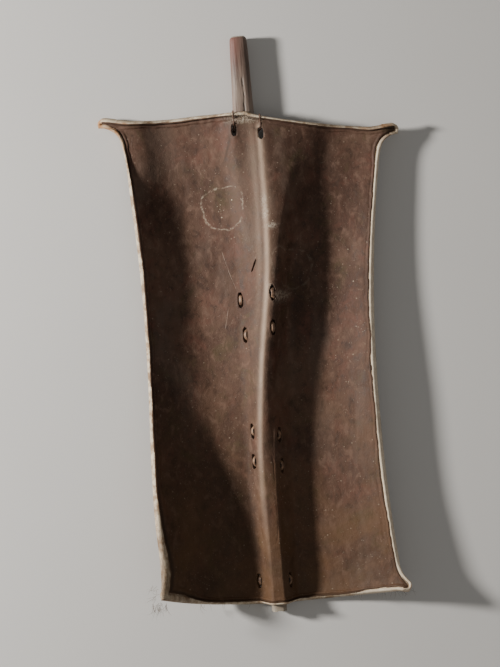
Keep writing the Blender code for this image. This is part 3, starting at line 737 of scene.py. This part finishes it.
def paint_hide(hide, outline):
    """Point attributes that the material reads, such as the worn edge with a painted highlight on the right
    hem, painted shade in the grooves and creases, the painted highlight along the crest, and the dust.
    """
    mesh = hide.data
    co = np.empty(len(mesh.vertices) * 3)
    mesh.vertices.foreach_get("co", co)
    x, y = co.reshape(-1, 3).T[:2]
    edge = outline_distance(x, y, outline)
    width = hem_width(x, y)
    t = along(y)
    # Where the right hem is painted paler: a painted highlight on its lit inner face.
    right = smooth((x - 0.10) / 0.05) * smooth((0.95 - t) / 0.05)
    # The pale worn edge of the hem, reaching further in on the right hem as a painted highlight.
    pale_wear_and_highlight_share = 0.50 + 0.32 * left_foot(x, y) + 0.45 * right
    worn = 1 - smooth((edge - pale_wear_and_highlight_share * width) / (0.26 * width))
    # Painted shade in the hem's groove, on top of the groove's relief.
    groove = bell((edge - (pale_wear_and_highlight_share + 0.36) * width) / (0.20 * width))
    groove *= 1 - 0.5 * smooth((t - 0.9) / 0.08)
    ears = smooth((t - 0.90) / 0.08) * smooth((np.abs(x) - 0.175) / 0.03)
    ears += smooth((0.07 - t) / 0.05) * smooth((np.abs(x) - 0.165) / 0.02)
    # Painted highlight along the crest: a broad band round the peak, a narrow pale line and a fainter line
    # further left.
    peak = crest_x(y)
    off = np.where(x < peak, (peak - x) / (0.80 * eased(y, CREST_FACE_LEFT)), (x - peak) / 0.006)
    line = (x - peak + CREST_HIGHLIGHT_PLACE) / CREST_HIGHLIGHT_WIDTH
    second = (x - peak + CREST_FAINT_HIGHLIGHT_PLACE) / CREST_FAINT_HIGHLIGHT_WIDTH
    top = 0.14 * bell(off) + 0.86 * bell(line) * (0.85 + 0.15 * noise(x, y, 0.02, 14))
    top += 0.16 * bell(second) * smooth((t - 0.5) / 0.2)
    # Painted shade along a crease line left of the crest.
    crease = (x - peak + CREST_SHADE_PLACE) / CREST_SHADE_WIDTH
    crest_shade_line = bell(crease) * smooth((t - 0.45) / 0.25)
    groove = np.maximum(groove, 0.42 * crest_shade_line * (0.7 + 0.3 * noise(x, y, 0.02, 15)))
    top = top * smooth((t - 0.02) / 0.50)
    dust = spotted(x, y, DUST_SPOTS) + DUST_ALL_OVER
    fibres = spotted(x, y, FIBRE_SPOTS)
    fibres += 0.9 * bell((x - pole_x(y)) / 0.024) * smooth((t - 0.972) / 0.012)
    # Darker and more olive over the lower left and along the foot.
    lower_darkening = smooth((0.55 - t) / 0.5) * smooth((-x - 0.01) / 0.05)
    lower_darkening += smooth((0.22 - t) / 0.2) * 0.6
    # Painted shade along the folds at the top, which have no relief of their own.
    for start, stop in TOP_FOLDS:
        groove = np.maximum(groove, 0.75 * fold_mark(x, y, start, stop))
    for name, values in {
        "worn": worn,
        "ears": ears,
        "crest": unit(top) * smooth((edge - 0.004) / 0.02),
        "dust": dust,
        "fibres": fibres,
        "lower_darkening": lower_darkening,
        "groove": groove,
        "foot": smooth((0.62 - t) / 0.62),
        "left_foot": left_foot(x, y),
        "right_hem_highlight": right,
    }.items():
        layer = mesh.attributes.new(name, "FLOAT", "POINT")
        layer.data.foreach_set("value", unit(values).astype(np.float32))


class Graph:
    """A small builder for a material's nodes."""

    def __init__(self, name):
        self.material = bpy.data.materials.new(name)
        self.material.use_nodes = True
        self.nodes = self.material.node_tree.nodes
        self.links = self.material.node_tree.links
        self.shader = self.nodes["Principled BSDF"]
        self.where = self.nodes.new("ShaderNodeTexCoord").outputs["Object"]

    def put(self, socket, value):
        """Links a node's output to a socket, or sets a plain value on it."""
        if isinstance(value, bpy.types.NodeSocket):
            self.links.new(value, socket)
        elif socket.type == "RGBA":
            socket.default_value = (*value, 1)
        else:
            socket.default_value = value

    def add(self, kind, inputs, **settings):
        """A node with these settings, its inputs, by name or number, linked or set to plain values."""
        node = self.nodes.new("ShaderNode" + kind)
        for name, value in settings.items():
            setattr(node, name, value)
        for name, value in inputs.items():
            self.put(node.inputs[name], value)
        return node

    def math(self, operation, a, b=0.0):
        return self.add("Math", {0: a, 1: b}, operation=operation).outputs[0]

    def times(self, a, b):
        return self.math("MULTIPLY", a, b)

    def plus(self, a, b):
        return self.math("ADD", a, b)

    def minus(self, a, b):
        return self.math("SUBTRACT", a, b)

    def ramp(self, value, low, high, to_low=0.0, to_high=1.0):
        ends = {0: value, 1: low, 2: high, 3: to_low, 4: to_high}
        return self.add("MapRange", ends, interpolation_type="SMOOTHSTEP").outputs[0]

    def noise(self, scale, detail=4.0, rough=0.55, along=1.0, warp=0.0):
        """Noise that is drawn out along the pole where along is less than 1."""
        where = self.add("Mapping", {"Vector": self.where, "Scale": (1, along, 1)}).outputs[0]
        inputs = {"Vector": where, "Scale": scale, "Detail": detail, "Roughness": rough, "Distortion": warp}
        return self.add("TexNoise", inputs).outputs["Fac"]

    def cells(self, scale):
        return self.add("TexVoronoi", {"Vector": self.where, "Scale": scale}).outputs["Distance"]

    def attribute(self, name):
        return self.add("Attribute", {}, attribute_name=name).outputs["Fac"]

    def axes(self):
        return self.add("SeparateXYZ", {0: self.where}).outputs

    def mix(self, share, a, b):
        return self.add("Mix", {0: share, 6: a, 7: b}, data_type="RGBA").outputs[2]

    def layers(self, colour, shades):
        """Lays shades over a colour in turn. Each is a place where it shows, its strength and its colour."""
        for place, strength, shade in shades:
            colour = self.mix(self.times(place, strength), colour, shade)
        return colour

    def bump(self, height, strength, distance, below=None):
        inputs = {"Height": height, "Strength": strength, "Distance": distance}
        return self.add("Bump", inputs if below is None else inputs | {"Normal": below}).outputs[0]

    def near_ring(self, ring, width):
        """1 on a wandering, roughly round line on the front, fading to 0 at the width."""
        x, y, _ = self.axes()
        ring_x, ring_y, radius = ring
        wander = self.times(self.minus(self.noise(24.0, 2.0), 0.5), 0.026)
        shiver = self.times(self.minus(self.noise(210.0, 2.0), 0.5), 0.005)
        power = 2.8
        across, down = (
            self.math("POWER", self.math("ABSOLUTE", self.minus(value, middle)), power)
            for value, middle in ((x, ring_x), (y, ring_y))
        )
        away = self.math("POWER", self.plus(across, down), 1 / power)
        off = self.plus(self.minus(away, radius), self.plus(wander, shiver))
        return self.ramp(self.math("ABSOLUTE", off), width, 0.2 * width)

    def near_line(self, start, bend, width):
        """1 on a thin line x = x0 + slope (y - y0) + curl (y - y0)^2 between two heights."""
        x0, y0, y1 = start
        slope, curl = bend
        x, y, _ = self.axes()
        dy = self.minus(y, y0)
        line = self.plus(self.times(dy, slope), self.times(self.times(dy, dy), curl))
        off = self.math("ABSOLUTE", self.minus(self.minus(x, x0), line))
        low, high = min(y0, y1), max(y0, y1)
        above_low = self.ramp(y, low - 0.003, low + 0.003)
        below_high = self.ramp(y, high + 0.003, high - 0.003)
        return self.times(self.ramp(off, width, 0.25 * width), self.times(above_low, below_high))

    def finish(self, colour, roughness, normal):
        self.put(self.shader.inputs["Base Color"], colour)
        self.put(self.shader.inputs["Roughness"], roughness)
        self.put(self.shader.inputs["Normal"], normal)
        return self.material


def hide_material():
    g = Graph("worn_hide")
    worn, ears, crest_highlight_mask, dust, fibres = map(g.attribute, ("worn", "ears", "crest", "dust", "fibres"))
    lower_darkening, groove, foot = map(g.attribute, ("lower_darkening", "groove", "foot"))
    clouds = g.noise(7.0, 6.0, 0.62, warp=0.6)
    patches = g.noise(21.0, 6.0, 0.62, warp=0.5)
    mottle = g.noise(74.0, 5.0, 0.62, 0.7, 0.4)
    drift = g.noise(16.0, 4.0, 0.6, 0.35)
    # The crest is painted paler along its mask: a painted highlight.
    crest_highlight = g.times(crest_highlight_mask, g.ramp(drift, 0.25, 0.65, 0.75, 1.0))
    specks = g.times(g.ramp(g.cells(300.0), 0.24, 0.10), g.ramp(g.noise(150.0, 2.0), 0.53, 0.62))
    big_specks = g.times(g.ramp(g.cells(95.0), 0.14, 0.08), g.ramp(g.noise(40.0, 2.0), 0.52, 0.60))
    ring_break = g.ramp(g.noise(75.0, 4.0, 0.7), 0.38, 0.54)
    faint = g.times(g.near_ring(RING_RIGHT, 0.0026), 0.35)
    rings = g.times(g.math("MAXIMUM", g.near_ring(RING_LEFT, 0.0022), faint), ring_break)
    scratches = g.ramp(g.noise(120.0, 3.0, 0.7, 0.10, 0.5), 0.70, 0.78)
    long_scratch = g.near_line((-0.0590, 0.125, 0.062), (-0.22, 1.2), 0.0009)
    second = g.near_line((-0.0560, 0.028, -0.004), (0.22, 0.0), 0.0008)
    marks = g.math("MAXIMUM", long_scratch, second)
    colour = g.mix(g.ramp(clouds, 0.36, 0.64), DARK_BROWN, BROWN)
    colour = g.layers(colour, (
        (g.ramp(patches, 0.50, 0.70), 0.60, RED_BROWN),
        (g.ramp(patches, 0.47, 0.30), 0.75, OLIVE),
        (g.ramp(mottle, 0.50, 0.70), 0.65, TAN),
        (g.ramp(mottle, 0.48, 0.32), 0.60, DEEP_BROWN),
        (g.ramp(drift, 0.50, 0.72), 0.50, GREY_BROWN),
        (lower_darkening, 0.35, LOWER_OLIVE),
        (foot, g.ramp(clouds, 0.40, 0.62, 0.15, 0.65), TAWNY),
        (g.ramp(g.noise(420.0, 3.0, 0.6), 0.50, 0.85), 0.25, GRAIN),
        # Painted highlight on the crest.
        (crest_highlight, 0.95, CREST_HIGHLIGHT_COLOUR),
        (g.times(specks, dust), 0.90, SPECK),
        (g.times(big_specks, dust), 0.85, BIG_SPECK),
        (g.times(rings, g.ramp(g.noise(330.0, 3.0, 0.7), 0.40, 0.60, 0.35, 1.0)), 0.62, CHALK),
        (scratches, 0.25, SCRATCH),
        (g.times(marks, g.ramp(g.noise(90.0, 3.0), 0.38, 0.55, 0.25, 1.0)), 0.55, LONG_SCRATCH),
        (g.times(fibres, g.ramp(g.noise(380.0, 5.0, 0.75, 0.8), 0.42, 0.60)), 0.90, FIBRE),
        # Painted shade in the grooves and creases.
        (groove, 0.70, CREASE_SHADE),
    ))
    pale = g.mix(g.ramp(g.noise(70.0, 5.0, 0.7), 0.38, 0.62), HEM_TAN, HEM_PALE)
    pale = g.layers(pale, (
        (ears, 0.75, g.mix(g.ramp(g.noise(38.0, 3.0), 0.42, 0.60), HEM_CREAM, HEM_ORANGE)),
        (g.ramp(g.noise(24.0, 4.0, 0.65), 0.56, 0.70), 0.65, HEM_DIRT),
        (g.attribute("left_foot"), g.ramp(g.noise(150.0, 4.0, 0.65, 0.16), 0.36, 0.60, 0.25, 0.85), HEM_STREAK),
        # Painted highlight on the right hem.
        (g.attribute("right_hem_highlight"), 0.55, HEM_RIGHT_HIGHLIGHT),
    ))
    ragged = g.plus(worn, g.times(g.minus(g.noise(130.0, 5.0, 0.75), 0.5), 0.9))
    colour = g.layers(colour, ((g.ramp(ragged, 0.35, 0.75), 0.95, pale),))
    rough = g.minus(g.ramp(mottle, 0.3, 0.7, 0.54, 0.72), g.times(crest_highlight_mask, 0.08))
    rough = g.plus(rough, g.times(worn, 0.10))
    pores = g.bump(g.cells(620.0), 0.28, 0.0006)
    skin = g.bump(g.noise(230.0, 6.0, 0.65, 0.8), 0.38, 0.0011, pores)
    folds = g.bump(g.noise(48.0, 5.0, 0.6, 0.7, 0.6), 0.22, 0.0034, skin)
    cut_marks = g.bump(g.times(g.math("MAXIMUM", marks, scratches), -1.0), 0.5, 0.0006, folds)
    g.shader.inputs["Specular IOR Level"].default_value = 0.17
    return g.finish(colour, rough, cut_marks)


def wood_material():
    g = Graph("weathered_pole")
    grain = g.noise(240.0, 6.0, 0.65, 0.035, 0.3)
    broad = g.noise(30.0, 3.0, 0.6, 0.25)
    x, y, _ = g.axes()
    colour = g.mix(g.ramp(grain, 0.32, 0.70), WOOD_DARK, WOOD_LIGHT)
    colour = g.layers(colour, (
        (g.times(g.ramp(y, 0.445, 0.380), g.ramp(grain, 0.3, 0.6, 0.3, 0.9)), 0.8, WOOD_PALE),
        (g.ramp(broad, 0.40, 0.65), 0.6, WOOD_BROWN),
        (g.times(g.ramp(y, 0.405, 0.480), g.ramp(x, 0.002, -0.014)), 0.65, WOOD_RED),
        (g.math("MAXIMUM", g.ramp(y, -0.4795, -0.4830), g.ramp(y, 0.4830, 0.4843)), 0.8, WOOD_END),
        (g.ramp(y, -0.468, -0.474), 0.75, WOOD_STUB),
        (g.ramp(g.cells(300.0), 0.16, 0.06), 0.25, WOOD_SPECK),
    ))
    fibre = g.bump(grain, 0.8, 0.0013)
    dents = g.bump(g.noise(90.0, 4.0, 0.6, 0.3), 0.35, 0.0016, fibre)
    return g.finish(colour, g.ramp(broad, 0.3, 0.7, 0.50, 0.68), dents)


def thong_material(name, shades):
    g = Graph(name)
    tone = g.noise(130.0, 4.0, 0.6)
    fibre = g.noise(900.0, 3.0, 0.6, 0.2)
    dark, light, worn = shades
    colour = g.mix(g.ramp(tone, 0.35, 0.65), dark, light)
    colour = g.mix(g.ramp(fibre, 0.5, 0.8, 0.0, 0.5), colour, worn)
    normal = g.bump(fibre, 0.4, 0.0005)
    return g.finish(colour, g.ramp(tone, 0.3, 0.7, 0.50, 0.62), g.bump(tone, 0.4, 0.0010, normal))


def bristle_material():
    g = Graph("bristle")
    tone = g.noise(200.0, 2.0)
    colour = g.mix(g.ramp(tone, 0.35, 0.65), (0.115, 0.082, 0.055), (0.30, 0.24, 0.18))
    return g.finish(colour, g.ramp(tone, 0.3, 0.7, 0.5, 0.65), g.bump(tone, 0.2, 0.0003))


def build_pole():
    """The pole's skin: softened sections with worn corners, a long drying crack and a ragged foot."""
    rings, sides = 330, 72
    t = np.linspace(0, 1, rings)
    y = -POLE_LENGTH / 2 + POLE_LENGTH * t
    turn = 2 * pi * (np.arange(sides) + 0.5) / sides
    c, s = np.cos(turn), np.sin(turn)
    reach = rounded(c, s, 3)
    yy = np.repeat(y[:, None], sides, axis=1)
    width = pole_width(yy) - 0.0004
    depth = np.full_like(yy, POLE_DEPTH - 0.0004)
    from_top = POLE_LENGTH / 2 - yy
    worn_end = 0.0034 * np.exp(-from_top / 0.0022)
    half_w, half_d = width / 2 - worn_end, depth / 2 - worn_end
    ox, oz = half_w * c * reach, half_d * s * reach
    around = np.repeat(turn[None], rings, axis=0)
    facet = 0.0004 * noise(around * 0.012, yy * 0.25, 0.010, 20)
    grain = 0.00022 * noise(around * 0.02, yy * 0.05, 0.0022, 21)
    crack_x = CRACK_SHIFT + CRACK_WANDER * np.sin((yy - HIDE_TOP) * 55)
    crack = bell((ox - crack_x) / CRACK_WIDTH) * (s > 0.5)
    crack = crack * smooth((yy - HIDE_TOP + 0.012) / 0.01) * smooth((HIDE_TOP + CRACK_LENGTH - yy) / 0.02)
    size = 1 + (facet + grain - CRACK_DEPTH * crack) / 0.013
    x = pole_x(yy) + ox * size
    z = POLE_Z + oz * size
    ragged = noise(ox, oz, 0.0045, 22) * 0.0022 * np.exp(-(yy + POLE_LENGTH / 2) / 0.004)
    y_out = yy + np.clip(ragged, -0.0004, None)
    verts = np.stack([x, y_out, z], axis=-1).reshape(-1, 3)
    number = np.arange(rings * sides).reshape(rings, sides)
    wrapped = np.concatenate([number, number[:, :1]], axis=1)
    faces = quads(wrapped[:, ::-1])
    verts = verts.tolist()
    for row, level, flip in ((0, -POLE_LENGTH / 2, False), (rings - 1, POLE_LENGTH / 2, True)):
        previous = number[row]
        for share in (0.66, 0.33):
            inner = []
            for k in range(sides):
                px, _, pz = verts[int(number[row][k])]
                cx, cz = float(pole_x(level)), POLE_Z
                qx, qz = cx + (px - cx) * share, cz + (pz - cz) * share
                lift = float(noise(qx, qz, 0.004, 23)) * (0.0012 if row == 0 else 0.0004)
                inner.append(len(verts))
                verts.append([qx, level + (max(lift, 0) if row == 0 else min(lift, 0)), qz])
            for k, n in following(sides):
                face = [int(previous[k]), int(previous[n]), inner[n], inner[k]]
                faces.append(face if not flip else face[::-1])
            previous = inner
        middle = len(verts)
        verts.append([float(pole_x(level)), level + (0.0005 if row == 0 else -0.0002), POLE_Z])
        for k, n in following(sides):
            face = [previous[k], previous[n], middle]
            faces.append(face if not flip else face[::-1])
    pole = mesh_object("pole_wood", verts, faces)
    pole.data.set_sharp_from_angle(angle=radians(55))
    return pole


def loop_through(points, count):
    """Evenly spaced places round a smooth closed curve, each with the strap's crosswise way."""
    anchors = [np.array((*where, *across), dtype=float) for where, across in points]
    fine = []
    for i, p1 in enumerate(anchors):
        p0, p2, p3 = anchors[i - 1], anchors[(i + 1) % len(anchors)], anchors[(i + 2) % len(anchors)]
        for step in range(20):
            t = step / 20
            bend = (p2 - p0) * t + (2 * p0 - 5 * p1 + 4 * p2 - p3) * t**2 + (3 * p1 - p0 - 3 * p2 + p3) * t**3
            fine.append(p1 + 0.5 * bend)
    closed = np.array(fine + fine[:1])
    steps = np.linalg.norm(np.diff(closed[:, :3], axis=0), axis=1)
    lengths = np.concatenate([[0.0], np.cumsum(steps)])
    wanted = np.arange(count) * lengths[-1] / count
    return np.stack([np.interp(wanted, lengths, closed[:, axis]) for axis in range(6)], axis=1)


def behind_pole(y, side):
    half = float(pole_width(y)) / 2
    off = THONG_GAP + THONG_THICKNESS / 2
    beside = (pole_x(y) + side * (half + off + 0.0006), y, POLE_CLEARANCE + 0.35 * POLE_DEPTH)
    under = (pole_x(y) + side * (half - 0.0035), y, POLE_CLEARANCE - off)
    return beside, under


def stitch_path(name):
    """Round the pole's back and out through the two slits, with a short stitch in each."""
    dive = STITCH_LENGTH / 2
    points = []
    for side, (x, y) in zip((-1, 1), slit_places(name)):
        fall = slope_at(x, y)
        out = Vector((sin(fall), 0, cos(fall)))
        lie = Vector((cos(fall), 0, -sin(fall))) * side
        spot = Vector((x, y, front_height(x, y)))
        face = out * (HALF_HIDE + 0.0004)
        inner = out * (HALF_HIDE + THONG_THICKNESS)
        for way in (-1, 1):
            run = Vector((0, side * way, 0))
            turned = (lie + run).normalized()
            beside, under = (Vector(p) for p in behind_pole(y + side * way * dive, side))
            leg = [
                (under, run),
                (beside, run),
                (spot + run * dive - inner, turned),
                (spot + run * 0.5 * dive + face, lie),
            ]
            points += leg if way < 0 else leg[::-1]
    return points


def rim_height(x, edge_y, inset):
    y = edge_y - inset
    bead = HEM_HEIGHT * max(0.0, 1 - ((inset - 0.5 * HEM_WIDTH) / (0.56 * HEM_WIDTH)) ** 2) ** 0.6
    return front_height(x, y) + float(ends_rise(x, y, inset)) + bead


def top_path():
    """Out of the two holes, over the top edge and round the back of the pole, above and below the edge."""
    points = []
    clear = HALF_HIDE + 0.0002 + CORD_FLATTENED / 2
    for side, (x, hole_y) in zip((-1, 1), top_hole_places()):
        edge_y = hole_y + TOP_HOLE_INSET
        rim = rim_height(x, edge_y, 0.5 * HEM_WIDTH)
        lift = clear / cos(slope_at(x, edge_y - 0.010))
        beside, under = behind_pole(hole_y, side)
        fall = slope_at(x, hole_y)
        end_y = hole_y + TOP_HOLE_LENGTH / 2 - 0.0025
        through = Vector((x, end_y, front_height(x, end_y)))
        out = Vector((sin(fall), 0, cos(fall)))
        inner = through - out * (HALF_HIDE + 0.0006)
        outer = through + out * (HALF_HIDE + 0.0019) + Vector((0, 0.0028, 0))
        corner = (beside[0], beside[1], POLE_CLEARANCE + 0.85 * POLE_DEPTH)
        spots = [under, beside, corner, tuple(inner), tuple(through), tuple(outer)]
        for inset in (0.019, 0.011, 0.004):
            spots.append((x, edge_y - inset, rim_height(x, edge_y, inset) + lift))
        past = edge_y + 0.0003 + CORD_FLATTENED / 2
        spots.append((x, edge_y, rim + lift))
        spots.append((x, past + 0.0010, rim - 0.001))
        spots.append((x, past + 0.0004, rim - clear - 0.003))
        beside, under = behind_pole(past, side)
        spots += [(beside[0] + side * 0.0008, past, beside[2]), (under[0], past, under[2] - 0.0006)]
        if side > 0:
            spots.reverse()
        points += [(spot, (1, 0.12, 0.0 if abs(spot[0] - x) < 0.001 else 1.0)) for spot in spots]
    return points


def strap(name, path, width, thickness, seed):
    """A closed strap with a softened flat section and uneven, worn edges."""
    sides = 16
    where = path[:, :3]
    heading = np.roll(where, -1, axis=0) - np.roll(where, 1, axis=0)
    heading /= np.linalg.norm(heading, axis=1, keepdims=True)
    across = path[:, 3:] - heading * (path[:, 3:] * heading).sum(1, keepdims=True)
    across /= np.linalg.norm(across, axis=1, keepdims=True)
    up = np.cross(across, heading)
    station = np.arange(len(path))
    verts = np.zeros((len(path), sides, 3))
    for k in range(sides):
        c, s = cos(2 * pi * k / sides), sin(2 * pi * k / sides)
        lumps = noise(station * 0.01 + 3.1 * k, station * 0.0 + seed, 0.045, 30 + seed)
        uneven = rounded(c, s, 3) * (1 + 0.10 * lumps)
        sideways = across * (width / 2 * c * uneven)[:, None]
        verts[:, k] = where + sideways + up * (thickness / 2 * s * uneven)[:, None]
    number = np.arange(len(path) * sides).reshape(len(path), sides)
    closed = np.concatenate([number, number[:1]], axis=0)
    closed = np.concatenate([closed, closed[:, :1]], axis=1)
    return mesh_object(name, verts.reshape(-1, 3), quads(closed))


def build_bristles():
    """Coarse hairs left on the hide's lower corners and along its bottom edge."""
    rng = np.random.default_rng(SEED + 60)
    roots = []
    for x0, y0, z0, count, spread_x, spread_y, heading in (
        (-0.204, -0.452, 0.082, 34, 0.012, 0.006, -1.7),
        (-0.208, -0.430, 0.084, 12, 0.005, 0.014, -2.8),
        (0.200, -0.458, 0.048, 22, 0.020, 0.003, -1.3),
        (0.150, -0.462, 0.030, 12, 0.050, 0.002, -1.5),
        (-0.110, -0.466, 0.020, 8, 0.060, 0.002, -1.6),
    ):
        for _ in range(count):
            x = x0 + rng.uniform(-1, 1) * spread_x
            y = y0 + rng.uniform(-1, 1) * spread_y
            roots.append((x, y, z0 + rng.uniform(-0.002, 0.002), heading + rng.normal(0, 0.45)))
    verts, faces = [], []
    for x, y, z, heading in roots:
        length = rng.uniform(0.008, 0.019)
        lift, curl = rng.uniform(-0.2, 0.7), rng.normal(0, 0.9)
        point = np.array([x, y, z])
        steps = 6
        for i in range(steps + 1):
            share = i / steps
            angle = heading + curl * share
            radius = 0.00030 * (1 - 0.75 * share)
            for k in range(3):
                turn = 2 * pi * k / 3
                side = np.array([-sin(angle) * cos(turn), cos(angle) * cos(turn), sin(turn)])
                verts.append((point + side * radius).tolist())
            point = point + np.array([cos(angle), sin(angle), lift * (1 - share)]) * length / steps
        base = len(verts) - 3 * (steps + 1)
        for i in range(steps):
            a = base + 3 * i
            for k, n in following(3):
                faces.append([a + k, a + n, a + 3 + n, a + 3 + k])
        faces.append([base, base + 2, base + 1])
        faces.append([base + 3 * steps, base + 3 * steps + 1, base + 3 * steps + 2])
    return mesh_object("bristles", verts, faces)


def area_light(name, shape, size, energy, colour, place):
    """An area light that faces the middle of the floor."""
    data = bpy.data.lights.new(name, "AREA")
    data.shape = shape
    data.size = size
    data.energy = energy
    data.color = colour
    lamp = bpy.data.objects.new(name, data)
    lamp.location = place
    lamp.rotation_euler = (-Vector(place)).to_track_quat("-Z", "Y").to_euler()
    bpy.context.scene.collection.objects.link(lamp)


def build_stage():
    """A pale floor, one soft key light from the left, a weak fill and the camera overhead."""
    floor = mesh_object("floor", [(-4, -4, 0), (4, -4, 0), (4, 4, 0), (-4, 4, 0)], [[0, 1, 2, 3]], False)
    floor.location.z = -0.0004
    g = Graph("floor_card")
    tone = g.noise(3.0, 2.0)
    colour = g.mix(tone, (0.62, 0.61, 0.59), (0.66, 0.65, 0.63))
    floor.data.materials.append(g.finish(colour, 0.9, g.bump(tone, 0.05, 0.001)))
    area_light("key", "DISK", 0.38, 172, (1.0, 0.965, 0.92), (-2.65, 0.55, 1.27))
    area_light("fill", "SQUARE", 3.0, 12, (1.0, 0.97, 0.93), (1.2, -0.6, 3.2))
    world = bpy.data.worlds.new("studio")
    bpy.context.scene.world = world
    world.use_nodes = True
    background = world.node_tree.nodes["Background"].inputs
    background["Color"].default_value = (1.0, 0.975, 0.94, 1)
    background["Strength"].default_value = 0.16
    camera = bpy.data.cameras.new("camera")
    camera.lens = CAMERA_LENS
    eye = bpy.data.objects.new("camera", camera)
    eye.location = (*CAMERA_AIM, CAMERA_DISTANCE)
    eye.rotation_euler = (0, 0, CAMERA_ROLL)
    bpy.context.scene.collection.objects.link(eye)
    bpy.context.scene.camera = eye
    return floor


def finished(piece, material, node=None):
    """Gives a piece its material and ties it to the frame."""
    piece.data.materials.clear()
    piece.data.materials.append(material)
    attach(piece, "root")
    if node:
        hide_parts(node)


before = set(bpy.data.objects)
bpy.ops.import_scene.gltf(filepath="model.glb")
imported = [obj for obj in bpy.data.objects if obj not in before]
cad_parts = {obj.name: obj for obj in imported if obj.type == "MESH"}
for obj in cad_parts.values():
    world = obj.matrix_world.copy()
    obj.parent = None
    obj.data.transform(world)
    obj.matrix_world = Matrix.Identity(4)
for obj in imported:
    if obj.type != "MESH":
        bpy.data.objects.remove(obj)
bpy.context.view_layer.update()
finished(build_hide(), hide_material(), "hide")
finished(build_pole(), wood_material(), "pole")
thong_finish = thong_material("rawhide_thong", THONG_SHADES)
for order, thong in enumerate(STITCHES):
    band = strap(f"{thong}_strap", loop_through(stitch_path(thong), 220), THONG_WIDTH, THONG_THICKNESS, order)
    finished(band, thong_finish, thong)
cord = strap("thong_top_cord", loop_through(top_path(), 300), CORD_WIDTH, CORD_FLATTENED, 9)
finished(cord, thong_material("dark_cord", CORD_SHADES), "thong_top")
finished(build_bristles(), bristle_material())
build_stage()
